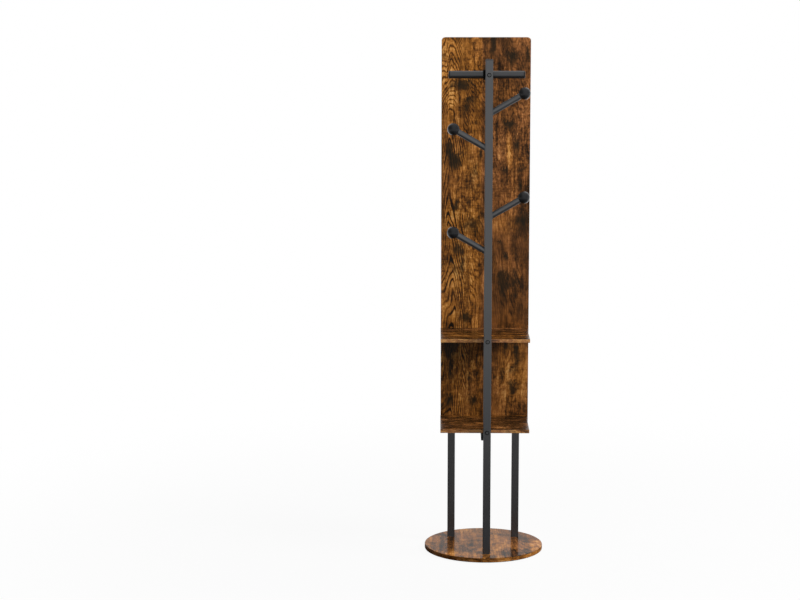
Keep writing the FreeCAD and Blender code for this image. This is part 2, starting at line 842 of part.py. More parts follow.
def all_parts():
    parts = {
        "rubber_feet": rubber_feet(),
        "base_plate": base_plate(),
        "lower_race": lower_race(),
        "lower_race_screws": lower_race_screws(),
        "pivot_stud": pivot_stud(),
        "retaining_clip": retaining_clip(),
        "ball_cage": ball_cage(),
        "bearing_balls": bearing_balls(),
        "upper_race": upper_race(),
        "upper_race_screws": upper_race_screws(),
        "pivot_flange": pivot_flange(),
        "pivot_flange_screws": pivot_flange_screws(),
        "turntable_disc": turntable_disc(),
        "foot_plugs": foot_plugs(),
        "foot_bolts": foot_bolts(),
        "leg_left": leg(*posts["leg_left"]),
        "leg_right": leg(*posts["leg_right"]),
        "leg_top_caps": leg_top_caps(),
        "coat_pole": coat_pole(),
        "pole_top_cap": pole_top_cap(),
        "centre_rail": centre_rail(),
        "centre_rail_cap": centre_rail_cap(),
        "centre_rail_plug": centre_rail_plug(),
        "cross_rail_left": cross_rail(-1),
        "cross_rail_right": cross_rail(1),
        "frame_screws": frame_screws(),
        "lower_shelf": lower_shelf(),
        "upper_shelf": shelf(upper_shelf_height),
        "backboard": backboard(),
        "board_screws": board_screws(),
        "rail_bolt": rail_bolt(),
        "upper_mirror": mirror(upper_mirror_bottom, mirror_high, mirror_high),
        "lower_mirror": mirror(mirror_low, lower_mirror_top, mirror_low),
        "upper_mirror_tape": mirror_tape(upper_mirror_bottom, mirror_high),
        "lower_mirror_tape": mirror_tape(mirror_low, lower_mirror_top),
        "shelf_bolts": shelf_bolts(),
        "shelf_sleeves": shelf_sleeves(),
        "crossbar": crossbar(),
        "crossbar_cap_left": crossbar_cap(-1),
        "crossbar_cap_right": crossbar_cap(1),
        "crossbar_saddle": crossbar_saddle(),
        "crossbar_plug": crossbar_plug(),
        "crossbar_bolt": crossbar_bolt(),
    }
    hooks = all_hooks()
    for hook in hooks:
        parts["hook_arm_" + hook.name] = hook_arm(hook)
        parts["hook_ball_" + hook.name] = hook_ball(hook)
    parts["hook_plugs"] = Part.makeCompound([hook_plug(hook) for hook in hooks])
    parts["hook_studs"] = Part.makeCompound([hook_stud(hook) for hook in hooks])
    return parts


os.makedirs("parts", exist_ok=True)
for name, shape in all_parts().items():
    shape.exportStep(os.path.join("parts", name + ".step"))
    print(name, len(shape.Solids), "solids", round(shape.Volume, 1), "mm3", "valid", shape.isValid())
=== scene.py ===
# %% [markdown]
# # Dressing a revolving mirror with a coat rack
# The stand turns on a low ball-bearing base. One side is a full-length mirror. The other side has a coat
# pole, four sloping hooks, a crossbar for hangers and two shelves, in front of a board printed to look like
# old rustic oak. The solid parts come ready made from the CAD model. This lesson gives them their finishes,
# models the small turned, welded and moulded pieces that deserve more detail, and lights the stand like a
# piece in a white studio.

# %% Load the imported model
from math import atan2, cos, pi, radians, sqrt

import bmesh
import bpy
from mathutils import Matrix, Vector


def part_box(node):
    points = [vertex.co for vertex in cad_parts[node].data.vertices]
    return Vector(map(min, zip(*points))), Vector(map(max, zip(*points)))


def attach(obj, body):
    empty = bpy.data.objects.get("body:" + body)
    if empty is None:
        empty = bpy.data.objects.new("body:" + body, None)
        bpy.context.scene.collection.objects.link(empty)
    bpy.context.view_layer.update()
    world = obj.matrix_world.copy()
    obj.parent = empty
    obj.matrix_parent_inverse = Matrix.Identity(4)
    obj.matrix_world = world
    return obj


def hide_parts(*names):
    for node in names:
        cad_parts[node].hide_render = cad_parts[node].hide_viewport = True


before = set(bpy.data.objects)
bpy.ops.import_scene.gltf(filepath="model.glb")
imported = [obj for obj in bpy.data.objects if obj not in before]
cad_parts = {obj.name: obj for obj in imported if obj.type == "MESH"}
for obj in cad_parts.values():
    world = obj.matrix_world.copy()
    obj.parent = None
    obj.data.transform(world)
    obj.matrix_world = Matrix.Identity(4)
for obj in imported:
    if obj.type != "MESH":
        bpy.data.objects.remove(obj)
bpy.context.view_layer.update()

# %% [markdown]
# ## Camera
# A tall, narrow object looks calm and true through a long lens from far away, because its lines stay nearly
# parallel. A 91 mm lens at almost seven metres, a little above the top and looking slightly down, shows the
# tops of both shelves and the round base. The camera needs no shift.

# %% Camera
camera_place = Vector((-0.1575, -6.7465, 1.824))
camera_lens = 91.25
camera_tilt_down = radians(8.17)
camera_turn_left = radians(1.08)

camera_data = bpy.data.cameras.new("studio_camera")
camera_data.lens = camera_lens
camera_data.sensor_width = 36.0
camera = bpy.data.objects.new("studio_camera", camera_data)
camera.location = camera_place
camera.rotation_euler = (pi / 2 - camera_tilt_down, 0.0, camera_turn_left)
bpy.context.scene.collection.objects.link(camera)
bpy.context.scene.camera = camera
bpy.context.scene.view_settings.view_transform = "Standard"
print("camera", camera_data.lens, "mm at", camera.location)

# %% [markdown]
# ## Adding shader nodes
# Every finish here is built from nodes. Adding a node by hand means choosing it, setting its options and
# drawing links into its sockets. add_node does the three in one line: a socket that is given another socket
# is linked to it, and one that is given a plain value gets that value typed in. The others name the few
# kinds of sums that come up all the time.

# %% Adding shader nodes
def add_node(tree, kind, sockets=None, **options):
    """Adds one shader node, with its options, its typed values and its links."""
    made = tree.nodes.new("ShaderNode" + kind)
    for option, value in options.items():
        setattr(made, option, value)
    for socket, value in (sockets or {}).items():
        if isinstance(value, bpy.types.NodeSocket):
            tree.links.new(value, made.inputs[socket])
        else:
            made.inputs[socket].default_value = value
    return made


def calculate(tree, operation, *values):
    """A Math node."""
    return add_node(tree, "Math", dict(enumerate(values)), operation=operation).outputs[0]


def total_of(tree, *values):
    """Adds several values up."""
    total = values[0]
    for value in values[1:]:
        total = calculate(tree, "ADD", total, value)
    return total


def fade(tree, value, start, end, low=0.0, high=1.0):
    """Goes smoothly from low to high while value goes from start to end."""
    sockets = {"Value": value, "From Min": start, "From Max": end, "To Min": low, "To Max": high}
    return add_node(tree, "MapRange", sockets, interpolation_type="SMOOTHSTEP").outputs[0]


def blend(tree, factor, below, above):
    """Goes from one value to another by a factor."""
    return add_node(tree, "Mix", {0: factor, 2: below, 3: above}, data_type="FLOAT").outputs[0]


# %% [markdown]
# ## Places and noise
# A pattern is a value for each place on the piece. To change the pattern, you change the place before the
# noise reads it: multiplying an axis draws the lumps out along it, and adding a wave to an axis bends
# whatever comes after.

# %% Places and noise
def split(tree, place):
    """The X, Y and Z of a place or a direction, one by one."""
    return add_node(tree, "SeparateXYZ", {0: place}).outputs


def shifted(tree, place, x=0.0, z=0.0):
    """A place moved by values that may come from other nodes."""
    move = add_node(tree, "CombineXYZ", {"X": x, "Z": z}).outputs[0]
    return add_node(tree, "VectorMath", {0: place, 1: move}, operation="ADD").outputs[0]


def noise(tree, place, scale, detail=2.0, roughness=0.5):
    """Soft random values around 0.5."""
    sockets = {"Vector": place, "Scale": scale, "Detail": detail, "Roughness": roughness}
    return add_node(tree, "TexNoise", sockets).outputs["Fac"]


def stretched(tree, place, across, along, detail=2.0, roughness=0.5):
    """Noise with its lumps drawn out along Z, as lumps per metre across and along."""
    factors = (across, across, along)
    squeezed = add_node(tree, "VectorMath", {0: place, 1: factors}, operation="MULTIPLY").outputs[0]
    return noise(tree, squeezed, 1.0, detail, roughness)


# %% [markdown]
# ## Colours
# Screen colours and light don't count alike: a grey that looks half as bright sends out only a fifth of the
# light. Blender's sockets take the amount of light, so rgb turns the numbers of a colour picker into it.

# %% Colours
def rgb(red, green, blue):
    """A colour picked on a screen, 0 to 255, as the linear values that Blender's sockets take."""
    return tuple(((part / 255 + 0.055) / 1.055) ** 2.4 for part in (red, green, blue)) + (1.0,)


def mixed(tree, factor, below, above):
    """One colour over another."""
    sockets = {0: factor, 6: below, 7: above}
    return add_node(tree, "Mix", sockets, data_type="RGBA", clamp_factor=True).outputs[2]


def ramp(tree, factor, stops):
    """A colour ramp through (position, colour) stops."""
    made = add_node(tree, "ValToRGB", {"Fac": factor})
    elements = made.color_ramp.elements
    while len(elements) < len(stops):
        elements.new(0.5)
    for element, (position, colour) in zip(elements, stops):
        element.position = position
        element.color = colour
    return made.outputs["Color"]


# %% [markdown]
# ## Materials
# Each material starts as Blender's Principled shader. Patterns read the object coordinates, which are
# metres on the piece itself, so they stay put when the stand turns. A number that is the same all over is
# typed into the shader's own socket. Only what varies is linked.

# %% Materials
def new_material(name):
    """An empty material, as its tree, its shader and the object coordinates that patterns read."""
    material = bpy.data.materials.new(name)
    material.use_nodes = True
    tree = material.node_tree
    shader = tree.nodes["Principled BSDF"]
    place = add_node(tree, "TexCoord").outputs["Object"]
    return material, tree, shader, place


def connect(tree, shader, **sockets):
    """Links or types values into the shader's sockets, named with _ for each blank."""
    for name, value in sockets.items():
        socket = shader.inputs[name.replace("_", " ")]
        if isinstance(value, bpy.types.NodeSocket):
            tree.links.new(value, socket)
        else:
            socket.default_value = value


def bump(tree, height, strength, distance):
    """Turns a height pattern into a relief of that depth in metres."""
    return add_node(tree, "Bump", {"Strength": strength, "Distance": distance, "Height": height}).outputs[0]


def finish(material, *names):
    """Gives CAD nodes their material."""
    for name in names:
        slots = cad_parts[name].data.materials
        slots.clear()
        slots.append(material)
    print(material.name, "on", ", ".join(names))


# %% [markdown]
# ## Studio light
# Three soft lamps light the stand. A very large one hangs in front and above, so the top gets more light
# than the feet. A stronger one far to the right gives the shapes their shading and pushes shadows to the
# left. The third lights the mirror side. Big lamps make soft shadows, and their energy is shared so that a
# colour comes out about as it was picked. No lamp shows in a reflection, because a bright disc in the
# mirror would look like a fault. Shiny surfaces reflect the white room instead.

# %% Studio light
def soft_box(name, place, aim, width, watts):
    """A round area lamp aimed at a point. Neither the camera nor gloss shows it."""
    lamp = bpy.data.lights.new(name, "AREA")
    lamp.shape = "DISK"
    lamp.size = width
    lamp.energy = watts
    box = bpy.data.objects.new(name, lamp)
    box.location = place
    box.rotation_euler = (Vector(aim) - Vector(place)).to_track_quat("-Z", "Y").to_euler()
    box.visible_camera = False
    box.visible_glossy = False
    bpy.context.scene.collection.objects.link(box)
    print(name, watts, "W at", place)


soft_box("front_box", place=(0.35, -1.35, 2.95), aim=(0.0, 0.0, 1.7), width=3.0, watts=21.0)
soft_box("side_box", place=(2.5, -0.95, 2.3), aim=(0.0, 0.0, 1.7), width=1.3, watts=116.0)
soft_box("back_box", place=(0.4, 2.8, 2.5), aim=(0.0, 0.1, 1.2), width=1.8, watts=34.0)

# %% [markdown]
# ## Backdrop
# The backdrop is white to the camera, and to the sharp rays of a mirror, which have to show what the camera
# would see. It hardly lights the stand, because the world's strength depends on what kind of ray asks.
# Satin steel and lacquer look dull without something bright to reflect, so their blurred reflections see a
# white room too, darker at its sides, the way black flags stand beside a real studio set.

# %% Backdrop
ambient_low = 0.07
ambient_high = 0.30
ambient_top = 0.9
left_reflection = 0.3
left_flag = (-0.80, -0.15)
right_reflection = 0.6
right_flag = (0.30, 0.90)


def kinds_of_ray(tree):
    """Two switches: rays that show things sharply, and rays that come from gloss or pass through."""
    path = add_node(tree, "LightPath").outputs
    sharp = calculate(tree, "MAXIMUM", path["Is Camera Ray"], path["Is Singular Ray"])
    shiny = calculate(tree, "MAXIMUM", path["Is Glossy Ray"], path["Is Transmission Ray"])
    return sharp, shiny


world = bpy.data.worlds.new("white_studio")
world.use_nodes = True
bpy.context.scene.world = world
tree = world.node_tree
sky = tree.nodes["Background"]
direction = split(tree, add_node(tree, "TexCoord").outputs["Generated"])
left_side = fade(tree, direction["X"], *left_flag, left_reflection, 1.0)
right_side = fade(tree, direction["X"], *right_flag, 1.0, right_reflection)
seen_in_gloss = calculate(tree, "MULTIPLY", left_side, right_side)
ambient = fade(tree, direction["Z"], 0.0, ambient_top, ambient_low, ambient_high)
sharp_ray, shiny_ray = kinds_of_ray(tree)
level = blend(tree, shiny_ray, ambient, seen_in_gloss)
level = blend(tree, sharp_ray, level, 1.0)
sky.inputs["Color"].default_value = (1.0, 1.0, 1.0, 1.0)
tree.links.new(level, sky.inputs["Strength"])
print("ambient", ambient_low, "to", ambient_high)

# %% [markdown]
# ## Floor
# A pale floor catches the shadow and the light that bounces up. Seen sharply, it glows towards white with
# distance, so it meets the backdrop without a line. In blurred reflections the glow starts further out, and
# in front of the stand further still, because distance counts for less than half there. That lets the feet
# of the steel tubes fall off into the dark, as they do in a real set with a dark sweep in front of it.

# %% Floor
floor_side = 120.0
glow_near = 0.93
glow_starts = 0.5
glow_full = 2.5
sweep_starts = 0.6
sweep_ends = 2.0
front_begins = 0.3
front_stretch = 0.45

bpy.ops.object.select_all(action="DESELECT")
bpy.ops.mesh.primitive_plane_add(size=floor_side)
floor = bpy.context.object
floor.name = "studio_floor"
material, tree, shader, place = new_material("studio_floor")
sharp_ray, shiny_ray = kinds_of_ray(tree)
speckle = noise(tree, place, scale=90.0, detail=3.0)
pale = mixed(tree, speckle, rgb(196, 196, 196), rgb(204, 204, 204))
deep = mixed(tree, speckle, rgb(104, 104, 104), rgb(112, 112, 112))
connect(tree, shader, Base_Color=mixed(tree, sharp_ray, deep, pale), Roughness=0.9, Specular_IOR_Level=0.1)
white = add_node(tree, "Emission", {"Color": (1.0, 1.0, 1.0, 1.0), "Strength": 1.0}).outputs[0]
distance = add_node(tree, "VectorMath", {0: place}, operation="LENGTH").outputs["Value"]
sharp_glow = fade(tree, distance, glow_starts, glow_full, glow_near, 1.0)
in_front = fade(tree, split(tree, place)["Y"], front_begins, -front_begins, 1.0, front_stretch)
gloss_glow = fade(tree, calculate(tree, "MULTIPLY", distance, in_front), sweep_starts, sweep_ends)
glow = blend(tree, sharp_ray, calculate(tree, "MULTIPLY", shiny_ray, gloss_glow), sharp_glow)
both = add_node(tree, "MixShader", {0: glow, 1: shader.outputs[0], 2: white}).outputs[0]
tree.links.new(both, tree.nodes["Material Output"].inputs["Surface"])
floor.data.materials.append(material)
print("floor", floor_side, "m square")

# %% [markdown]
# ## Rustic board
# The boards are pressed wood under a printed paper that copies scorched old oak: golden planks, brown
# planks, smoky dark patches, knots, and grain lines that bend into flames and arches. A painted image would
# blur up close and repeat. Nodes build the print up like a printer does, one layer over another, and never
# run out of detail. Two ramps hold the colours from scorched to pale, one for golden wood and one for
# brown, and every layer only says how light the wood is.

# %% Colours of the rustic board
golden_stops = (
    (0.00, rgb(22, 13, 4)),
    (0.20, rgb(58, 34, 10)),
    (0.40, rgb(107, 65, 24)),
    (0.56, rgb(143, 90, 35)),
    (0.76, rgb(188, 124, 57)),
    (1.00, rgb(226, 168, 95)),
)
brown_stops = (
    (0.00, rgb(20, 12, 6)),
    (0.20, rgb(52, 31, 13)),
    (0.40, rgb(93, 58, 30)),
    (0.56, rgb(128, 80, 43)),
    (0.76, rgb(170, 111, 63)),
    (1.00, rgb(210, 154, 94)),
)
smoke_colour = rgb(28, 23, 12)
# The arris colour is painted shade for the rounded edges of the boards.
arris_painted_shade_colour = rgb(30, 20, 12)
print("stops of golden wood", len(golden_stops), "and of brown wood", len(brown_stops))

# %% [markdown]
# ## Laying the print on a board
# The flat sides and the narrow edges carry different strips of the print. On the flat sides a Mapping node
# turns and starts it, with the grain along Z of the pattern. The edges have a glued band with its grain
# along the band, so there the length round the board becomes Z. The normal tells which of the two a point
# is on. Nothing in wood is straight, so the place then wavers sideways before most layers read it.

# %% Laying the print on a board
broad_waver = 0.05
fine_waver = 0.014


def laid_on_board(tree, object_place, face_axis, turn, start, enlarged, rim_radius):
    """The place where the print is read, how squarely a point faces out, and if it is on the band."""
    sockets = {"Vector": object_place, "Rotation": turn, "Location": start, "Scale": (1 / enlarged,) * 3}
    face_place = add_node(tree, "Mapping", sockets).outputs[0]
    axes = split(tree, object_place)
    if rim_radius:
        angle = calculate(tree, "ARCTAN2", axes["Y"], axes["X"])
        along_band = calculate(tree, "MULTIPLY", angle, rim_radius)
    else:
        along_band = calculate(tree, "ADD", *[axes[axis] for axis in "XYZ" if axis != face_axis])
    band_place = add_node(tree, "CombineXYZ", {"X": axes[face_axis], "Z": along_band}).outputs[0]
    normal = add_node(tree, "TexCoord").outputs["Normal"]
    facing = calculate(tree, "ABSOLUTE", split(tree, normal)[face_axis])
    on_band = fade(tree, facing, start=0.6, end=0.4)
    sockets = {0: on_band, 4: face_place, 5: band_place}
    place = add_node(tree, "Mix", sockets, data_type="VECTOR").outputs[1]
    return place, facing, on_band


def wavered(tree, place):
    """The place with a broad and a fine wave, in metres, added across the grain."""
    broad_wave = stretched(tree, place, across=5.0, along=1.6)
    fine_wave = stretched(tree, place, across=30.0, along=11.0, detail=3.0)
    waver = calculate(tree, "MULTIPLY_ADD", broad_wave, broad_waver, -broad_waver / 2)
    waver = calculate(tree, "MULTIPLY_ADD", fine_wave, fine_waver, waver)
    return shifted(tree, place, x=waver)


# %% [markdown]
# ## Layers of light and dark
# Stretched noise gives grain, and each layer has its own size: broad tones, blotches, flecks, streaks,
# dashes, fibre and the crosswise marks of a rough saw. Each is counted as light around nothing, so that
# they can be added up. What has to sit in a certain place, such as a burnt patch, is a soft oval mark.

# %% Layers of light and dark
def spots(tree, place, marks):
    """The sum of soft oval marks, each given as its middle, its half sizes and its strength."""
    total = 0.0
    for x, z, half_width, half_height, strength in marks:
        sockets = {"Vector": place, "Location": (x, 0.0, z), "Scale": (half_width, 1.0, half_height)}
        inside = add_node(tree, "Mapping", sockets, vector_type="TEXTURE").outputs[0]
        oval = add_node(tree, "TexGradient", {0: inside}, gradient_type="SPHERICAL").outputs["Fac"]
        total = calculate(tree, "MULTIPLY_ADD", oval, strength, total)
    return total


def grain(tree, place, across, along, detail, amount):
    """Noise stretched along the grain, as steps of light around nothing."""
    layer = stretched(tree, place, across, along, detail, roughness=0.6)
    return calculate(tree, "MULTIPLY_ADD", layer, amount, -amount / 2)


def printed_layers(tree, place, wavy, blotches, saw_marks):
    """The layers of the print by name."""
    return {
        "tone": grain(tree, wavy, across=12.0, along=4.0, detail=3.0, amount=0.75),
        "blotch": grain(tree, wavy, across=38.0, along=19.0, detail=6.0, amount=blotches),
        "fleck": grain(tree, wavy, across=90.0, along=75.0, detail=3.0, amount=0.7),
        "streak": grain(tree, wavy, across=110.0, along=6.0, detail=3.0, amount=1.15),
        "dash": grain(tree, wavy, across=260.0, along=100.0, detail=3.0, amount=0.9),
        "fibre": grain(tree, wavy, across=900.0, along=40.0, detail=2.0, amount=0.35),
        "saw": grain(tree, place, across=30.0, along=200.0, detail=4.0, amount=saw_marks),
    }


# %% [markdown]
# ## Ring lines
# A plank is a slice through the tree's rings, so its lines are the contours of a hill: arches up the middle
# of the plank and steep flames beside it. Here the hill's height is folded to and fro, and a dark line is
# drawn at every fold. High on the tall board the slice lies flatter, and the arches get broad and far
# apart.

# %% Ring lines
arch_width = 0.010
arch_steepness = 1.5
rise_per_metre = 18.0
hill_height = 18.0
broad_rise_per_metre = 22.0
broad_flattening = 0.8
broad_line_strength = 0.55
broad_gone_beyond = 0.07
broad_full_within = 0.02
fold_height = 0.5
line_edge = 0.25
line_core = 0.06


def ring_lines(tree, place, wavy, arch_middle, broad_above):
    """How dark a ring line is at each place."""
    parts = split(tree, wavy)
    from_middle = calculate(tree, "SUBTRACT", parts["X"], arch_middle)
    from_middle = calculate(tree, "MULTIPLY", from_middle, 1 / arch_width)
    arch = calculate(tree, "SQRT", calculate(tree, "MULTIPLY_ADD", from_middle, from_middle, 1.0))
    hill = stretched(tree, wavy, across=13.0, along=2.6, detail=2.0, roughness=0.45)
    steepness = arch_steepness
    rise = calculate(tree, "MULTIPLY", parts["Z"], rise_per_metre)
    where = fade(tree, stretched(tree, place, across=9.0, along=5.0), start=0.36, end=0.58, low=0.15)
    if broad_above is not None:
        higher = calculate(tree, "MAXIMUM", calculate(tree, "SUBTRACT", parts["Z"], broad_above), 0.0)
        rise = calculate(tree, "MULTIPLY_ADD", higher, broad_rise_per_metre, rise)
        near = fade(tree, parts["X"], arch_middle + broad_gone_beyond, arch_middle + broad_full_within)
        near = calculate(tree, "MULTIPLY", near, fade(tree, higher, start=0.0, end=0.06))
        steepness = calculate(tree, "MULTIPLY_ADD", near, -broad_flattening, arch_steepness)
        where = blend(tree, near, where, broad_line_strength)
    arch = calculate(tree, "MULTIPLY", arch, steepness)
    level = total_of(tree, arch, rise, calculate(tree, "MULTIPLY", hill, hill_height))
    line = fade(tree, calculate(tree, "PINGPONG", level, fold_height), line_edge, line_core)
    return calculate(tree, "MULTIPLY", line, where)


# %% [markdown]
# ## Smoky patches
# The print is scorched in patches with ragged borders. They come from a slow noise that is cut at a height.
# Marks that were placed one by one raise the same field, and the finer layers fray their outlines, so
# nobody can tell the two kinds apart.

# %% Smoky patches
raggedness = 0.05
mark_lift = 0.42
dash_fray = 0.12
smoke_starts = 0.52
smoke_full = 0.78
thickest_smoke = 0.9


def smoke_over(tree, place, wavy, layers, marks):
    """How much smoke lies over each place."""
    smoke = stretched(tree, wavy, across=26.0, along=13.0, detail=5.0, roughness=0.62)
    if marks:
        sideways = calculate(tree, "MULTIPLY", layers["blotch"], raggedness)
        upwards = calculate(tree, "MULTIPLY", layers["dash"], raggedness)
        ragged = shifted(tree, place, x=sideways, z=upwards)
        smoke = calculate(tree, "MULTIPLY_ADD", spots(tree, ragged, marks), mark_lift, smoke)
    smoke = calculate(tree, "MULTIPLY_ADD", layers["dash"], -dash_fray, smoke)
    return fade(tree, smoke, smoke_starts, smoke_full, high=thickest_smoke)


# %% [markdown]
# ## The whole print
# One function puts the layers together, because all four boards are cut from the same stock and differ only
# in where and how large the print lies, how light it is and how glossy its lacquer. A seam value splits a
# board into two planks, a golden one on the left and a browner one on the right. Calm marks take the fine
# grain away where the print is quiet.

# %% The whole print
seam_softness = 0.003
plank_step = 0.07
right_plank_deeper = 0.06
left_plank_gold = 0.6
spot_gold = 2.0
arris_painted_shade_strength = 0.35
uneven_sheen = 0.12


def rustic_wood(name, turn=(0.0, 0.0, 0.0), start=(0.0, 0.0, 0.0), enlarged=1.0, face_axis="Y",
                rim_radius=0.0, marks=(), golden=(), calm=(), seam=None, arch_middle=0.0, broad_above=None,
                ring_strength=0.55, brightness=0.53, blotches=0.9, fineness=1.0, saw_marks=0.3,
                edge_light=0.0, gloss=0.3, shine=0.1):
    """A rustic printed board. Its grain runs along Z of the pattern, which turn and start lay on it."""
    material, tree, shader, object_place = new_material(name)
    place, facing, on_band = laid_on_board(tree, object_place, face_axis, turn, start, enlarged, rim_radius)
    wavy = wavered(tree, place)
    layers = printed_layers(tree, place, wavy, blotches, saw_marks)

    fine = total_of(tree, *[layers[layer] for layer in ("streak", "fleck", "dash", "fibre", "saw")])
    crispness = stretched(tree, place, across=8.0, along=3.5)
    crisp = fade(tree, crispness, start=0.35, end=0.65, low=0.45, high=1.15)
    crisp = calculate(tree, "MULTIPLY", crisp, fineness)
    if calm:
        crisp = calculate(tree, "SUBTRACT", crisp, spots(tree, place, calm))
    light = total_of(tree, layers["tone"], layers["blotch"], brightness)
    light = calculate(tree, "MULTIPLY_ADD", fine, crisp, light)

    line = ring_lines(tree, place, wavy, arch_middle, broad_above)
    mottle = grain(tree, wavy, across=70.0, along=25.0, detail=3.0, amount=0.5)
    yellow = calculate(tree, "ADD", stretched(tree, wavy, across=9.0, along=2.0), mottle)
    yellow = fade(tree, yellow, start=0.35, end=0.65)
    if seam is not None:
        across = split(tree, place)["X"]
        left_plank = fade(tree, across, seam + seam_softness, seam - seam_softness)
        near_arches = fade(tree, across, arch_middle + 0.09, arch_middle + 0.03, low=0.35, high=1.3)
        line = calculate(tree, "MULTIPLY", line, near_arches)
        light = calculate(tree, "SUBTRACT", light, right_plank_deeper)
        light = calculate(tree, "MULTIPLY_ADD", left_plank, plank_step, light)
        yellow = calculate(tree, "MULTIPLY", yellow, 1 - left_plank_gold)
        yellow = calculate(tree, "MULTIPLY_ADD", left_plank, left_plank_gold, yellow)
    light = calculate(tree, "MULTIPLY_ADD", line, -ring_strength, light)
    # Golden marks lighten or deepen the wood where they lie. Most follow the print. On the backboard, the
    # lower shelf and the disc some of them are painted light and painted shade.
    if golden:
        gold = spots(tree, wavy, golden)
        light = calculate(tree, "ADD", light, gold)
        yellow = calculate(tree, "MULTIPLY_ADD", gold, spot_gold, yellow)
    light = calculate(tree, "MULTIPLY_ADD", on_band, edge_light, light)
    colour = mixed(tree, yellow, ramp(tree, light, brown_stops), ramp(tree, light, golden_stops))
    colour = mixed(tree, smoke_over(tree, place, wavy, layers, marks), colour, smoke_colour)

    # Where the edge band meets the face, the rounded arris is darkened by which way it faces. This is
    # painted shade, for the dark that a rounded edge shows as it turns from the light.
    off_band = fade(tree, facing, start=0.20, end=0.55)
    off_face = fade(tree, facing, start=0.995, end=0.90)
    painted_arris_shade = calculate(tree, "MULTIPLY", off_band, off_face)
    colour = mixed(tree, calculate(tree, "MULTIPLY", painted_arris_shade, arris_painted_shade_strength), colour, arris_painted_shade_colour)

    pores = total_of(tree, layers["streak"], layers["dash"], layers["fibre"])
    relief = bump(tree, pores, strength=0.3, distance=0.0003)
    sheen = calculate(tree, "MULTIPLY_ADD", layers["blotch"], uneven_sheen, gloss)
    connect(tree, shader, Base_Color=colour, Roughness=sheen, Normal=relief, Specular_IOR_Level=shine)
    return material


# %% [markdown]
# ## Backboard
# The tall board shows two planks: a golden one on the left with arches up its middle, and a browner, calmer
# one on the right. Burnt patches and bright spots sit where a print puts them, so they are placed one by
# one, each as a soft oval with a middle, a half width, a half height and a strength, in metres. The bright
# spots between the shelves are painted light, not print. The noise then frays them. First come the burnt
# patches of either plank.

# %% Burnt patches of the backboard
left_marks = (
    (-0.10, 1.58, 0.03, 0.03, 0.6),
    (-0.065, 1.57, 0.04, 0.03, 0.8),
    (-0.05, 1.52, 0.03, 0.03, 0.6),
    (-0.07, 1.49, 0.03, 0.04, 0.8),
    (-0.125, 1.35, 0.02, 0.04, 0.9),
    (-0.10, 1.31, 0.03, 0.04, 1.0),
    (-0.015, 1.34, 0.01, 0.03, 1.0),
    (-0.04, 1.25, 0.03, 0.05, 0.7),
    (-0.095, 1.16, 0.02, 0.03, 0.9),
    (-0.035, 1.10, 0.04, 0.05, 0.6),
    (-0.095, 1.02, 0.03, 0.04, 0.8),
    (-0.075, 0.96, 0.015, 0.08, 0.7),
    (-0.06, 0.78, 0.03, 0.02, 0.7),
    (-0.12, 0.68, 0.05, 0.05, 1.0),
    (-0.07, 0.69, 0.03, 0.02, 0.5),
    (-0.11, 0.60, 0.015, 0.05, 0.9),
    (-0.045, 0.57, 0.02, 0.035, 0.9),
    (-0.12, 0.49, 0.03, 0.04, 0.8),
    (-0.04, 0.49, 0.02, 0.04, 0.8),
)
right_marks = (
    (0.03, 1.70, 0.02, 0.05, 0.8),
    (0.09, 1.65, 0.03, 0.05, 0.6),
    (0.14, 1.68, 0.015, 0.05, 0.6),
    (0.08, 1.44, 0.03, 0.02, 0.7),
    (0.11, 1.37, 0.02, 0.07, 0.8),
    (0.13, 1.285, 0.03, 0.015, 0.9),
    (0.07, 1.285, 0.03, 0.015, 0.8),
    (0.12, 1.23, 0.02, 0.03, 0.7),
    (0.05, 1.66, 0.02, 0.03, 0.6),
    (0.11, 1.11, 0.04, 0.06, 0.5),
    (0.05, 1.04, 0.012, 0.012, 1.0),
    (0.07, 0.99, 0.02, 0.02, 1.0),
    (0.08, 0.90, 0.05, 0.08, 0.8),
    (0.11, 0.66, 0.015, 0.06, 0.8),
    (0.10, 0.60, 0.02, 0.03, 0.9),
    (0.10, 0.535, 0.02, 0.035, 1.0),
    (0.065, 0.66, 0.02, 0.05, 0.6),
    (0.037, 0.57, 0.01, 0.012, 0.9),
    (0.062, 0.57, 0.01, 0.04, 0.6),
)
print("burnt patches", len(left_marks) + len(right_marks))

# %% [markdown]
# ## Light and quiet places of the backboard
# The same kind of mark moves how light the wood is. A positive strength makes the wood lighter and more
# golden, a negative one deeper and browner. Most marks follow the print, but those between the two shelves
# are painted light: they lighten the wood where the upper shelf casts its shade. The quiet places lose most
# of their fine grain.

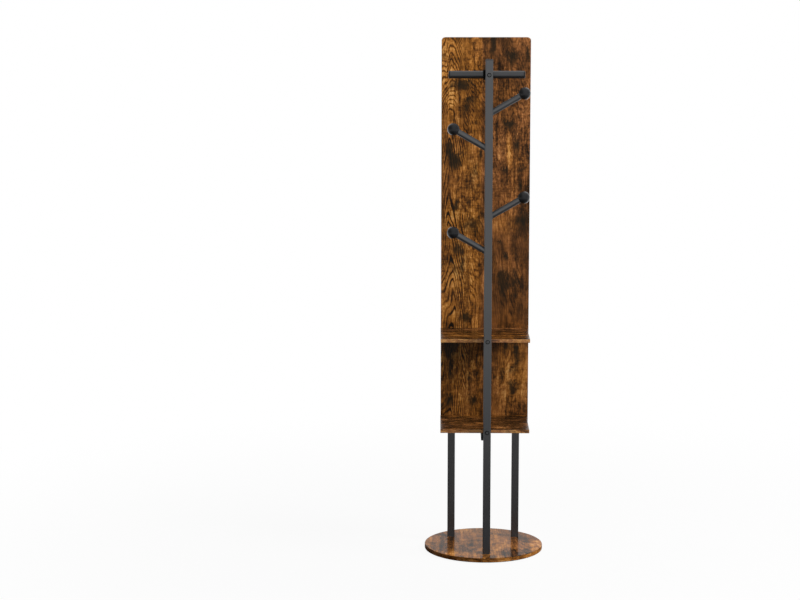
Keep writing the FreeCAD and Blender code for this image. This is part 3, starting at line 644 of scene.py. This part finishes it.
# %% Light and quiet places of the backboard
# The marks from 0.5 to 0.66 m up, between the shelves, are painted light against the shade under the upper
# shelf.
golden_marks_and_painted_light = (
    (-0.11, 1.64, 0.09, 0.16, 0.09),
    (-0.10, 1.53, 0.05, 0.08, 0.12),
    (-0.13, 1.66, 0.03, 0.10, 0.20),
    (-0.125, 1.53, 0.025, 0.07, 0.16),
    (0.086, 1.355, 0.018, 0.080, 0.50),
    (-0.10, 1.13, 0.03, 0.04, 0.25),
    (-0.09, 0.92, 0.05, 0.08, 0.16),
    (-0.06, 1.00, 0.12, 0.26, 0.10),
    (0.14, 0.58, 0.03, 0.12, 0.25),
    (0.08, 1.66, 0.10, 0.12, -0.18),
    (0.08, 0.95, 0.12, 0.20, -0.06),
    (0.10, 0.60, 0.12, 0.20, 0.30),
    (-0.06, 0.58, 0.12, 0.18, 0.13),
    (-0.10, 1.70, 0.08, 0.05, 0.25),
    (-0.12, 0.80, 0.06, 0.05, 0.25),
    (-0.09, 0.64, 0.07, 0.04, 0.20),
    (0.12, 1.31, 0.05, 0.06, 0.22),
    (0.06, 1.10, 0.08, 0.05, 0.20),
    (0.11, 0.50, 0.05, 0.05, 0.10),
    (-0.08, 0.66, 0.06, 0.05, 0.25),
)
deep_places = (
    (-0.02, 1.69, 0.03, 0.06, -0.22),
    (-0.135, 1.50, 0.02, 0.04, -0.25),
    (-0.08, 1.22, 0.10, 0.08, -0.15),
    (-0.04, 1.04, 0.05, 0.06, -0.22),
    (-0.03, 0.53, 0.05, 0.08, -0.18),
    (0.04, 0.58, 0.03, 0.16, -0.18),
)
calm_places = (
    (0.08, 0.93, 0.12, 0.28, 0.85),
    (0.08, 1.70, 0.12, 0.12, 0.35),
)
backboard_wood = rustic_wood("backboard_wood", marks=left_marks + right_marks,
                             golden=golden_marks_and_painted_light + deep_places, calm=calm_places, seam=-0.01,
                             arch_middle=-0.112, broad_above=1.42, saw_marks=0.45)
finish(backboard_wood, "backboard")

# %% [markdown]
# ## Shelves
# They are cut from the same stock, so they use the same layers with another start in the pattern, and their
# grain runs from side to side. Their lacquer is glossier than the backboard's: seen along the shelf, its
# corners catch the bright room beside the board. The band on the front edge is lighter than the top, and
# less so on the right.

# %% Shelves
quarter = pi / 2
band_reach = 0.2
shelf_gloss = 0.26
shelf_shine = 0.38


def on_front_edge(shelf, x, half_width, strength):
    """A spot on a shelf's front edge, as the pattern of the edge band wants it."""
    low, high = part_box(shelf)
    return ((low.z + high.z) / 2, x + low.y, band_reach, half_width, strength)


# A deeper patch on the right part of the lower shelf is painted shade under the upper shelf.
lower_shelf_painted_shade = (1.76, 5.02, 0.2, 0.12, -0.5)
upper_wood = rustic_wood("upper_shelf_wood", turn=(0.0, quarter, 0.0), start=(0.31, 0.17, 2.4),
                         face_axis="Z", golden=(on_front_edge("upper_shelf", 0.05, 0.09, -0.30),),
                         ring_strength=0.2, brightness=0.31, blotches=1.9, edge_light=0.62,
                         gloss=shelf_gloss, shine=shelf_shine)
lower_wood = rustic_wood("lower_shelf_wood", turn=(0.0, quarter, 0.0), start=(1.33, 0.71, 5.1),
                         face_axis="Z",
                         golden=(on_front_edge("lower_shelf", 0.05, 0.07, -0.36), lower_shelf_painted_shade),
                         ring_strength=0.2, brightness=0.33, blotches=1.9, edge_light=0.52,
                         gloss=shelf_gloss, shine=shelf_shine)
finish(upper_wood, "upper_shelf")
finish(lower_wood, "lower_shelf")

# %% [markdown]
# ## Base disc
# The disc's grain runs from front to back, and its print is the same one enlarged. It is lacquered smoother
# than the backboard, so it mirrors the feet of the legs. A lighter tone at the front left is a painted
# golden reflection, and a deeper tone at the front right is painted shade. Both are placed by where they
# are on the disc, and a helper turns that into a place in the pattern.

# %% Base disc
disc_radius = 0.2
disc_start = (0.93, 0.21, 8.3)
disc_enlarged = 2.2


def on_disc(x, y, half_width, half_depth, strength):
    """A spot given by its place on the disc, as the pattern wants it."""
    middle = (disc_start[0] + x / disc_enlarged, disc_start[2] + y / disc_enlarged)
    return (*middle, half_width / disc_enlarged, half_depth / disc_enlarged, strength)


# These two tones are painted light: a golden reflection at the front left and shade at the front right.
disc_painted_reflection_and_shade = (on_disc(-0.08, -0.14, 0.10, 0.07, 0.28), on_disc(0.11, -0.15, 0.10, 0.08, -0.18))
disc_calm = (on_disc(0.0, 0.12, 0.25, 0.14, 0.5),)
disc_wood = rustic_wood("disc_wood", turn=(quarter, 0.0, 0.0), start=disc_start, enlarged=disc_enlarged,
                        face_axis="Z", rim_radius=disc_radius, golden=disc_painted_reflection_and_shade, calm=disc_calm,
                        ring_strength=0.15, brightness=0.595, blotches=1.3, fineness=0.8,
                        edge_light=0.1, gloss=0.15, shine=0.038)
finish(disc_wood, "turntable_disc")

# %% [markdown]
# ## Powder-coated steel
# The tubes have a baked powder coat: dark grey, satin, with the faint orange-peel relief that powder leaves
# when it melts. A car paint would be smoother and a brushed paint would show strokes. One noise gives the
# peel and a slower one makes the sheen uneven, as it is on a real tube. The hanger bar gets a copy with
# less shine, which is painted shade: it keeps the bar darker than the frame, as a bar in the shade behind
# the pole looks. So the function takes the shine as a value.

# %% Powder-coated steel
satin = 0.30
satin_spread = 0.10


def steel_coat(name, shine):
    """Dark grey powder coat, with its orange peel and an uneven satin sheen."""
    material, tree, shader, place = new_material(name)
    peel = noise(tree, place, scale=900.0)
    patches = noise(tree, place, scale=22.0, detail=3.0)
    coat_colour = mixed(tree, patches, rgb(21, 22, 25), rgb(27, 28, 31))
    coat_roughness = calculate(tree, "MULTIPLY_ADD", patches, satin_spread, satin)
    connect(tree, shader, Base_Color=coat_colour, Roughness=coat_roughness,
            Normal=bump(tree, peel, strength=0.35, distance=0.0001), Specular_IOR_Level=shine, IOR=1.55)
    return material


powder_coat = steel_coat("powder_coat", 1.0)
# The bar's duller copy is painted shade, to keep the bar darker than the frame.
bar_coat_painted_shade = steel_coat("bar_coat_painted_shade", 0.65)
finish(powder_coat, "leg_left", "leg_right", "coat_pole", "centre_rail", "cross_rail_left",
       "cross_rail_right", "hook_arm_right_1", "hook_arm_left_1", "hook_arm_right_2", "hook_arm_left_2")
finish(bar_coat_painted_shade, "crossbar")

# %% [markdown]
# ## Plastics, rubber and foam
# The moulded parts differ in gloss more than in colour. One function makes them all: two close tones mixed
# by a noise, an uneven roughness, and a fine relief. The knobs get a thin clear coat on a dull body, which
# gives them a small sharp glint, as a polished mould does.

# %% Plastics, rubber and foam
gloss_spread = 0.1


def moulded(name, dark, pale, roughness, grain_scale=700.0, grain_depth=0.00005, gloss=0.5):
    """A moulded material with two close tones and a fine relief."""
    material, tree, shader, place = new_material(name)
    relief = bump(tree, noise(tree, place, grain_scale, detail=3.0), strength=0.3, distance=grain_depth)
    patches = noise(tree, place, scale=45.0, detail=3.0)
    uneven = calculate(tree, "MULTIPLY_ADD", patches, gloss_spread, roughness - gloss_spread / 2)
    connect(tree, shader, Base_Color=mixed(tree, patches, dark, pale), Roughness=uneven,
            Normal=relief, Specular_IOR_Level=gloss)
    return material


black_plastic = moulded("black_plastic", rgb(16, 16, 17), rgb(22, 22, 23), roughness=0.42, gloss=0.35)
# Near-black rubber, darker than the feet: partly the saddle's own black and partly painted shade for the
# dark gap between the bar and the pole.
black_rubber_and_painted_shade = moulded("black_rubber_and_painted_shade", rgb(8, 8, 8), rgb(14, 14, 14), roughness=0.85,
                        grain_scale=1200.0, grain_depth=0.0001, gloss=0.1)
rubber = moulded("rubber", rgb(34, 33, 32), rgb(48, 47, 45), roughness=0.75,
                 grain_scale=1200.0, grain_depth=0.0001, gloss=0.3)
cage_plastic = moulded("cage_plastic", rgb(222, 220, 212), rgb(236, 234, 226), roughness=0.5)
foam_tape = moulded("foam_tape", rgb(228, 228, 222), rgb(242, 242, 238), roughness=0.85,
                    grain_scale=2500.0, grain_depth=0.0002, gloss=0.2)
ball_plastic = moulded("ball_plastic", rgb(18, 18, 19), rgb(24, 24, 26), roughness=0.5,
                       grain_scale=300.0, grain_depth=0.00002, gloss=0.15)
connect(ball_plastic.node_tree, ball_plastic.node_tree.nodes["Principled BSDF"],
        Coat_Weight=1.0, Coat_Roughness=0.05, Coat_IOR=1.25)
finish(black_plastic, "leg_top_caps", "foot_plugs", "centre_rail_cap", "crossbar_plug", "centre_rail_plug",
       "hook_plugs")
finish(black_rubber_and_painted_shade, "crossbar_saddle")
finish(rubber, "rubber_feet")
finish(cage_plastic, "ball_cage")
finish(foam_tape, "upper_mirror_tape", "lower_mirror_tape")

# %% [markdown]
# ## Plated steel
# Screws, races and the floor plate are zinc plated. Plating is a metal whose roughness varies in small
# crystals, so cells give each crystal its own polish, and the bump between them is only just there.

# %% Plated steel
material, tree, shader, place = new_material("zinc_plating")
cells = add_node(tree, "TexVoronoi", {"Vector": place, "Scale": 400.0}).outputs["Color"]
spangle = add_node(tree, "SeparateColor", {0: cells}).outputs[0]
tone = noise(tree, place, scale=60.0, detail=3.0)
connect(tree, shader, Base_Color=mixed(tree, tone, rgb(176, 178, 182), rgb(206, 208, 210)), Metallic=1.0,
        Roughness=calculate(tree, "MULTIPLY_ADD", spangle, 0.12, 0.28),
        Normal=bump(tree, spangle, strength=0.1, distance=0.00005))
finish(material, "base_plate", "lower_race", "lower_race_screws", "pivot_stud", "retaining_clip",
       "upper_race", "upper_race_screws", "pivot_flange", "pivot_flange_screws", "foot_bolts",
       "frame_screws", "board_screws", "rail_bolt", "shelf_sleeves", "hook_studs", "bearing_balls")

# %% [markdown]
# ## Mirror
# A mirror is clear glass with silver on its back. Here the silver is put on the outer face: a smooth metal
# that gives back most of the light, and on the ground edges the faint green of thick glass.

# %% Mirror
material, tree, shader, place = new_material("mirror_silver")
haze = noise(tree, place, scale=7.0, detail=3.0)
silver = mixed(tree, haze, rgb(237, 237, 237), rgb(239, 239, 239))
glass_edge = mixed(tree, haze, rgb(120, 160, 146), rgb(150, 186, 172))
normal = add_node(tree, "TexCoord").outputs["Normal"]
face = fade(tree, split(tree, normal)["Y"], start=0.80, end=0.97)
connect(tree, shader, Base_Color=mixed(tree, face, glass_edge, silver), Metallic=face,
        Roughness=fade(tree, face, start=0.0, end=1.0, low=0.22, high=0.0))
finish(material, "upper_mirror", "lower_mirror")

# %% [markdown]
# ## Picking faces and edges
# Edit-mode operators work on whatever is selected. By hand you would click on faces. In a script you pick
# them by where they are or which way they point, so the pick tools take a test and select what passes it.
# Everything is deselected before a new piece starts, because a new piece is selected all over and an
# operator would act on the old ones as well.

# %% Picking faces and edges
def start_alone():
    """Leaves edit mode and deselects everything, so that an operator only meets the next primitive."""
    if bpy.context.object and bpy.context.object.mode == "EDIT":
        bpy.ops.object.mode_set(mode="OBJECT")
    bpy.ops.object.select_all(action="DESELECT")


def edit():
    """Enters edit mode with everything selected."""
    bpy.ops.object.mode_set(mode="EDIT")
    bpy.ops.mesh.select_all(action="SELECT")


def pick_faces(passes):
    """Selects the faces whose middle and normal pass the test."""
    bpy.ops.mesh.select_mode(type="FACE")
    bpy.ops.mesh.select_all(action="DESELECT")
    mesh = bmesh.from_edit_mesh(bpy.context.object.data)
    for face in mesh.faces:
        face.select_set(passes(face.calc_center_median(), face.normal))
    bmesh.update_edit_mesh(bpy.context.object.data)


def pick_edges(passes):
    """Selects the edges whose middle and direction pass the test."""
    bpy.ops.mesh.select_mode(type="EDGE")
    bpy.ops.mesh.select_all(action="DESELECT")
    mesh = bmesh.from_edit_mesh(bpy.context.object.data)
    for edge in mesh.edges:
        ends = [vertex.co for vertex in edge.verts]
        edge.select_set(passes((ends[0] + ends[1]) / 2, (ends[1] - ends[0]).normalized()))
    bmesh.update_edit_mesh(bpy.context.object.data)


# %% [markdown]
# ## Shaping and closing a piece
# The picked part is pulled out with extrude or made wider or narrower with resize, which are what E and S
# do by hand. When a piece is done its doubles are merged first and its normals are turned outwards after
# that, since normals can only be told on a closed skin.

# %% Shaping and closing a piece
def extrude_by(y=0.0, z=0.0):
    """Pulls the picked faces out by an offset."""
    bpy.ops.mesh.extrude_region_move(TRANSFORM_OT_translate={"value": (0.0, y, z)})


def resize_by(factor):
    """Makes the picked part wider or narrower, but no taller."""
    bpy.ops.transform.resize(value=(factor, factor, 1.0))


def put_place_in_mesh():
    """Leaves the object at the origin, unturned and unscaled, as the CAD parts are."""
    bpy.ops.object.transform_apply(location=True, rotation=True, scale=True)


def close_up(smooth_angle=radians(35)):
    """Ends a piece: doubles merged, normals outwards, smooth where it isn't sharp."""
    bpy.ops.mesh.select_all(action="SELECT")
    bpy.ops.mesh.remove_doubles(threshold=0.000005)
    bpy.ops.mesh.normals_make_consistent(inside=False)
    bpy.ops.object.mode_set(mode="OBJECT")
    bpy.ops.object.shade_smooth_by_angle(angle=smooth_angle)


# %% [markdown]
# ## Copying, joining and fitting
# What repeats is modelled once, at the origin, as a pattern piece. Each copy gets a mesh of its own, is
# turned and moved, and has that place put into its mesh. A finished piece rides on the turning stand, and
# where it shows a CAD part in more detail it stands in for that part.

# %% Copying, joining and fitting
stand_body = "turning_stand"


def copy_at(pattern, name, place, turn=(0.0, 0.0, 0.0), scale=(1.0, 1.0, 1.0)):
    """A copy with a mesh of its own, turned and moved, with its place put into the mesh."""
    start_alone()
    pattern.select_set(True)
    bpy.context.view_layer.objects.active = pattern
    bpy.ops.object.duplicate(linked=False)
    made = bpy.context.object
    made.name = name
    made.data.name = name
    made.location = place
    made.rotation_euler = turn
    made.scale = scale
    put_place_in_mesh()
    return made


def join_as(name, pieces):
    """Joins pieces into one mesh under one name."""
    start_alone()
    for piece in pieces:
        piece.select_set(True)
    bpy.context.view_layer.objects.active = pieces[0]
    if len(pieces) > 1:
        bpy.ops.object.join()
    pieces[0].name = name
    return pieces[0]


def throw_away(piece):
    """Removes a pattern piece once its copies are made, or a cutter once it has cut."""
    bpy.data.objects.remove(piece, do_unlink=True)


def fit_on(piece, material, slot, *replaced):
    """Gives a piece its finish and body, and lets it stand for CAD nodes."""
    piece.data.materials.clear()
    piece.data.materials.append(material)
    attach(piece, stand_body)
    if replaced:
        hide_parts(*replaced)
    piece.data.calc_loop_triangles()
    print(piece.name, len(piece.data.loop_triangles), "triangles, for", ", ".join(replaced) or "itself")


def middle_of(node):
    """The middle of a CAD node's box."""
    low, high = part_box(node)
    return (low + high) / 2


# %% [markdown]
# ## Hook knob
# The knob on each hook is a hollow-moulded black ball, screwed flat against the end of its tube. A plain
# sphere would look like a marble. The real one has a flat where it meets the tube, a small bevel round that
# flat which leaves a shadow line, and a fine ridge where the two halves of the mould met. So the ball is
# cut by a plane for the flat, and twice more to mark out a narrow band, which is then fattened into the
# ridge.

# %% Hook knob
knob_low, knob_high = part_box("hook_ball_right_1")
arm_low, arm_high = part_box("hook_arm_right_1")
knob_radius = (knob_high.x - knob_low.x) / 2
arm_radius = (arm_high.y - arm_low.y) / 2
flat_distance = sqrt(knob_radius ** 2 - arm_radius ** 2)
flat_bevel = 0.0005
seam_half_width = 0.0003
seam_height = 0.00012

start_alone()
bpy.ops.mesh.primitive_uv_sphere_add(segments=96, ring_count=48, radius=knob_radius)
knob = bpy.context.object
edit()
bpy.ops.mesh.bisect(plane_co=(0, 0, -flat_distance), plane_no=(0, 0, -1), use_fill=True, clear_outer=True)
pick_faces(lambda middle, normal: normal.z < -0.999 and middle.z < -flat_distance * 0.999)
bpy.ops.mesh.bevel(offset=flat_bevel, segments=3, affect="EDGES")
for side in (-1, 1):
    bpy.ops.mesh.select_all(action="SELECT")
    bpy.ops.mesh.bisect(plane_co=(0, side * seam_half_width, 0), plane_no=(0, 1, 0))
pick_faces(lambda middle, normal: abs(middle.y) < seam_half_width and middle.z > -flat_distance * 0.98)
bpy.ops.transform.shrink_fatten(value=seam_height)
close_up()
print("knob radius", knob_radius, "flat at", flat_distance)

# %% [markdown]
# ## Four knobs
# The arms rise at thirty degrees, two to the right and two to the left, so each copy is turned until its
# flat lies against the end of its arm.

# %% Four knobs
hook_sides = {"right_1": 1, "left_1": -1, "right_2": 1, "left_2": -1}
hook_rise = radians(30)

for name, side in hook_sides.items():
    node = "hook_ball_" + name
    copy = copy_at(knob, "knob_" + name, middle_of(node), turn=(0.0, side * (pi / 2 - hook_rise), 0.0))
    fit_on(copy, ball_plastic, "gloss_balls", node)
throw_away(knob)

# %% [markdown]
# ## Weld bead
# Each arm is a tube cut at a slant and welded to the side of the pole, so a rippled bead runs round its
# oval foot. A torus gives the bead. Every other ring of its faces is fattened a little, which makes the
# ripples that a welder leaves, and one round of subdivision melts them together.

# %% Weld bead
bead_radius = 0.0013
bead_steps = 96
ripple_height = 0.00022

start_alone()
bpy.ops.mesh.primitive_torus_add(major_segments=bead_steps, minor_segments=12,
                                 major_radius=arm_radius + bead_radius * 0.3, minor_radius=bead_radius)
bead = bpy.context.object
edit()
pick_faces(lambda middle, normal: int((atan2(middle.y, middle.x) / (2 * pi) + 1) * bead_steps) % 2 == 0)
bpy.ops.transform.shrink_fatten(value=ripple_height)
close_up(radians(60))
melt = bead.modifiers.new("melt", "SUBSURF")
melt.levels = 1
melt.render_levels = 1
bpy.ops.object.modifier_apply(modifier=melt.name)
print("bead round a tube of radius", arm_radius)

# %% [markdown]
# ## Four arm welds
# A slanted cut through a round tube is an oval, taller than it is wide. The ring is stretched by the same
# ratio, one over the cosine of the arm's rise, and laid against the side of the pole.

# %% Four arm welds
oval = 1 / cos(hook_rise)

for name, side in hook_sides.items():
    low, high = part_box("hook_arm_" + name)
    pole_side = low.x if side > 0 else high.x
    root = Vector((pole_side, (low.y + high.y) / 2, low.z + arm_radius / cos(hook_rise)))
    copy = copy_at(bead, "weld_" + name, root, turn=(0.0, pi / 2, 0.0), scale=(oval, 1.0, 1.0))
    fit_on(copy, powder_coat, "dark_frame")
throw_away(bead)

# %% [markdown]
# ## Straight weld bead
# The cross rails under the lower shelf are butt-welded between the middle rail and the legs. A straight
# bead is a thin cylinder, cut across by subdivision and fattened in every other ring like the round one.
# Its ends are bevelled until they are round.

# %% Straight weld bead
rail_low, rail_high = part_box("cross_rail_left")
bead_length = (rail_high.z - rail_low.z) * 0.78
ripple_pitch = 0.0007

start_alone()
bpy.ops.mesh.primitive_cylinder_add(vertices=12, radius=bead_radius, depth=bead_length)
stick = bpy.context.object
edit()
pick_edges(lambda middle, along: abs(along.z) > 0.99)
bpy.ops.mesh.subdivide(number_cuts=int(bead_length / ripple_pitch))
pick_faces(lambda middle, normal: abs(normal.z) < 0.5 and int(middle.z / ripple_pitch + 100) % 2 == 0)
bpy.ops.transform.shrink_fatten(value=ripple_height)
pick_faces(lambda middle, normal: abs(normal.z) > 0.9)
bpy.ops.mesh.bevel(offset=bead_radius * 0.6, segments=3, affect="EDGES")
close_up(radians(60))
print("straight bead", bead_length, "m long")

# %% [markdown]
# ## Rail welds
# Three beads close each joint: two upright ones and one below. The fourth side lies against the shelf and
# has none. The six beads of a rail are joined into one piece.

# %% Rail welds
for rail in ("cross_rail_left", "cross_rail_right"):
    low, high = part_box(rail)
    middle = middle_of(rail)
    beads = []
    for x in (low.x, high.x):
        beads.append(copy_at(stick, "bead", (x, low.y, middle.z)))
        beads.append(copy_at(stick, "bead", (x, high.y, middle.z)))
        beads.append(copy_at(stick, "bead", (x, middle.y, low.z), turn=(pi / 2, 0.0, 0.0)))
    fit_on(join_as(rail + "_welds", beads), powder_coat, "dark_frame")
throw_away(stick)

# %% [markdown]
# ## Crossbar cap
# A moulded plug closes each end of the hanger bar: a well-rounded head as wide as the tube, a hair-line
# gap, and a spigot that grips inside. A cylinder is the start. Its outer rim gets a wide bevel, its middle
# a shallow gate mark, and its back face is inset and pulled inward for the spigot, whose end is narrowed so
# that it starts easily.

# %% Crossbar cap
bar_low, bar_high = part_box("crossbar")
cap_low, cap_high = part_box("crossbar_cap_right")
bar_radius = (bar_high.y - bar_low.y) / 2
head_length = cap_high.x - bar_high.x
spigot_length = bar_high.x - cap_low.x
head_round = head_length * 0.8
gate_radius = 0.0016
gate_depth = 0.0003
spigot_inset = 0.0016
gap_bevel = 0.0003

start_alone()
bpy.ops.mesh.primitive_cylinder_add(vertices=96, radius=bar_radius, depth=head_length,
                                    location=(0, 0, head_length / 2))
cap = bpy.context.object
put_place_in_mesh()
edit()
pick_faces(lambda middle, normal: normal.z > 0.9)
bpy.ops.mesh.bevel(offset=head_round, segments=10, affect="EDGES")
pick_faces(lambda middle, normal: normal.z > 0.9999 and middle.z > head_length * 0.999)
bpy.ops.mesh.inset(thickness=bar_radius - head_round - gate_radius)
bpy.ops.mesh.inset(thickness=gate_depth, depth=-gate_depth)
pick_faces(lambda middle, normal: normal.z < -0.9)
bpy.ops.mesh.bevel(offset=gap_bevel, segments=2, affect="EDGES")
pick_faces(lambda middle, normal: normal.z < -0.999 and middle.z < gap_bevel / 2)
bpy.ops.mesh.inset(thickness=spigot_inset)
extrude_by(z=-spigot_length * 0.8)
extrude_by(z=-spigot_length * 0.2)
resize_by(0.9)
close_up()
print("cap head", head_length, "m, spigot", spigot_length, "m")

# %% [markdown]
# ## Two crossbar caps
# Each copy is turned on its side and set on the mouth of the tube, its head outwards.

# %% Two crossbar caps
for name, side in (("left", -1), ("right", 1)):
    mouth = middle_of("crossbar")
    mouth.x = side * bar_high.x
    copy = copy_at(cap, "bar_cap_" + name, mouth, turn=(0.0, side * pi / 2, 0.0))
    fit_on(copy, black_plastic, "black_plastic", "crossbar_cap_" + name)
throw_away(cap)

# %% [markdown]
# ## Pole cap
# The pole's top is closed by a square plug with a softly crowned head. A cube of the head's size gets
# rounded corners and a rounded rim. Its top is inset and raised by less than a millimetre to crown it, and
# below, a narrower spigot with two gripping ribs goes down inside the tube.

# %% Pole cap
top_low, top_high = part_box("pole_top_cap")
tube_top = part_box("coat_pole")[1].z
cap_middle = middle_of("pole_top_cap")
cap_side = top_high.x - top_low.x
crown_height = 0.0005
rim_height = top_high.z - tube_top - crown_height
corner_round = 0.0025
rim_round = 0.0009
spigot_side_gap = 0.0016
spigot_neck = 0.003
rib_height = 0.0012
rib_depth = 0.0003

start_alone()
bpy.ops.mesh.primitive_cube_add(size=1.0)
pole_cap = bpy.context.object
pole_cap.name = "pole_cap"
pole_cap.scale = (cap_side, cap_side, rim_height)
pole_cap.location = (cap_middle.x, cap_middle.y, tube_top + rim_height / 2)
put_place_in_mesh()
edit()
pick_edges(lambda middle, along: abs(along.z) > 0.99)
bpy.ops.mesh.bevel(offset=corner_round, segments=6, affect="EDGES")
pick_faces(lambda middle, normal: normal.z > 0.99)
bpy.ops.mesh.bevel(offset=rim_round, segments=4, affect="EDGES")
pick_faces(lambda middle, normal: normal.z > 0.9999)
bpy.ops.mesh.inset(thickness=rim_round * 0.5)
for rise, narrowing in ((0.6, 0.8), (0.3, 0.7), (0.1, 0.5)):
    extrude_by(z=crown_height * rise)
    resize_by(narrowing)
pick_faces(lambda middle, normal: normal.z < -0.99)
bpy.ops.mesh.inset(thickness=spigot_side_gap)
extrude_by(z=-spigot_neck)
for rib in range(2):
    extrude_by(z=-rib_height / 2)
    resize_by(1 + 2 * rib_depth / cap_side)
    extrude_by(z=-rib_height / 2)
    resize_by(1 - 2 * rib_depth / cap_side)
    extrude_by(z=-rib_height)
close_up(radians(40))
fit_on(pole_cap, black_plastic, "black_plastic", "pole_top_cap")

# %% [markdown]
# ## Pole bolt
# Three bolts hold the pole to the crossbar and the shelves. Each has a low painted head with a hexagon
# socket. The head is a cylinder with a rounded rim, and its back face is inset and pulled out into the
# shank.

# %% Pole bolt
bolt_low, bolt_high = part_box("crossbar_bolt")
pole_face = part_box("coat_pole")[0].y
washer_radius = (bolt_high.x - bolt_low.x) / 2
washer_height = 0.0008
# The head is kept narrower than the CAD head so that the black washer round it shows, as painted shade.
bolt_head_radius = washer_radius * 0.68
bolt_head_top = pole_face - bolt_low.y
head_height = bolt_head_top - washer_height
bolt_rim_round = 0.0009
shank_radius = 0.003
shank_stub = 0.004

start_alone()
bpy.ops.mesh.primitive_cylinder_add(vertices=72, radius=bolt_head_radius, depth=head_height,
                                    location=(0, 0, washer_height + head_height / 2))
bolt = bpy.context.object
put_place_in_mesh()
edit()
pick_faces(lambda middle, normal: normal.z > 0.9)
bpy.ops.mesh.bevel(offset=bolt_rim_round, segments=6, affect="EDGES")
pick_faces(lambda middle, normal: normal.z < -0.9)
bpy.ops.mesh.inset(thickness=bolt_head_radius - shank_radius)
extrude_by(z=-shank_stub)
close_up()
print("bolt head", bolt_head_radius, "m radius,", bolt_head_top, "m proud")

# %% [markdown]
# ## Hexagon socket
# A hexagon inside a circle is awkward to get by moving edges, so it is cut with a Boolean by a six-sided
# cylinder. The cylinder's end is pulled to a blunt point, the shape that a drill leaves at the bottom of a
# hole.

# %% Hexagon socket
socket_radius = 0.0027
socket_depth = 0.0010
drill_tip = 0.0014

start_alone()
bpy.ops.mesh.primitive_cylinder_add(vertices=6, radius=socket_radius, depth=2 * socket_depth,
                                    location=(0, 0, bolt_head_top))
cutter = bpy.context.object
edit()
pick_faces(lambda middle, normal: normal.z < -0.9)
bpy.ops.mesh.inset(thickness=socket_radius * 0.8)
bpy.ops.transform.translate(value=(0, 0, -drill_tip))
close_up()
start_alone()
bolt.select_set(True)
bpy.context.view_layer.objects.active = bolt
socket_cut = bolt.modifiers.new("socket", "BOOLEAN")
socket_cut.object = cutter
socket_cut.operation = "DIFFERENCE"
bpy.ops.object.modifier_apply(modifier=socket_cut.name)
throw_away(cutter)
bpy.ops.object.shade_smooth_by_angle(angle=radians(35))
print("bolt with its socket has", len(bolt.data.polygons), "faces")

# %% [markdown]
# ## Washer
# A black washer shows round each head as a dark ring. It is a real part, but it is made wide and black so
# that it paints the shade of a gap round the head. It is a flat cylinder with a rounded rim. Both of its
# flat faces are inset, and a bridge between the two inner loops makes the hole.

# %% Washer
washer_rim_round = 0.0003

start_alone()
bpy.ops.mesh.primitive_cylinder_add(vertices=72, radius=washer_radius, depth=washer_height,
                                    location=(0, 0, washer_height / 2))
washer = bpy.context.object
put_place_in_mesh()
edit()
pick_faces(lambda middle, normal: normal.z > 0.9)
bpy.ops.mesh.bevel(offset=washer_rim_round, segments=3, affect="EDGES")
pick_faces(lambda middle, normal: abs(normal.z) > 0.9)
bpy.ops.mesh.inset(thickness=washer_radius - shank_radius * 1.1)
bpy.ops.mesh.bridge_edge_loops()
close_up()
print("washer", washer_radius, "m radius")

# %% [markdown]
# ## Bolts and washers in place
# One bolt sits at the crossbar and one at each shelf. The shelf bolts are one part in the CAD model, so
# their two heads are joined. On the real thing a shank goes on through the pole, and its end is pulled out
# to where the CAD model's bolt ends.

# %% Bolts and washers in place
bolt_heights = {"crossbar_bolt": [middle_of("crossbar_bolt").z],
                "shelf_bolts": [middle_of("lower_shelf").z, middle_of("upper_shelf").z]}
bolt_x = middle_of("crossbar_bolt").x

for node, heights in bolt_heights.items():
    places = [(bolt_x, pole_face, height) for height in heights]
    heads = [copy_at(bolt, "head", place, turn=(pi / 2, 0.0, 0.0)) for place in places]
    joined_heads = join_as(node + "_head", heads)
    edit()
    pick_faces(lambda middle, normal: normal.y > 0.9 and middle.y > pole_face + shank_stub * 0.75)
    extrude_by(y=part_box(node)[1].y - pole_face - shank_stub)
    close_up()
    fit_on(joined_heads, powder_coat, "bolt_heads", node)
    washers = [copy_at(washer, "washer", place, turn=(pi / 2, 0.0, 0.0)) for place in places]
    # The washers take the near-black rubber, which paints the shade ring round each head.
    fit_on(join_as(node + "_washer", washers), black_rubber_and_painted_shade, "black_plastic")
throw_away(bolt)
throw_away(washer)
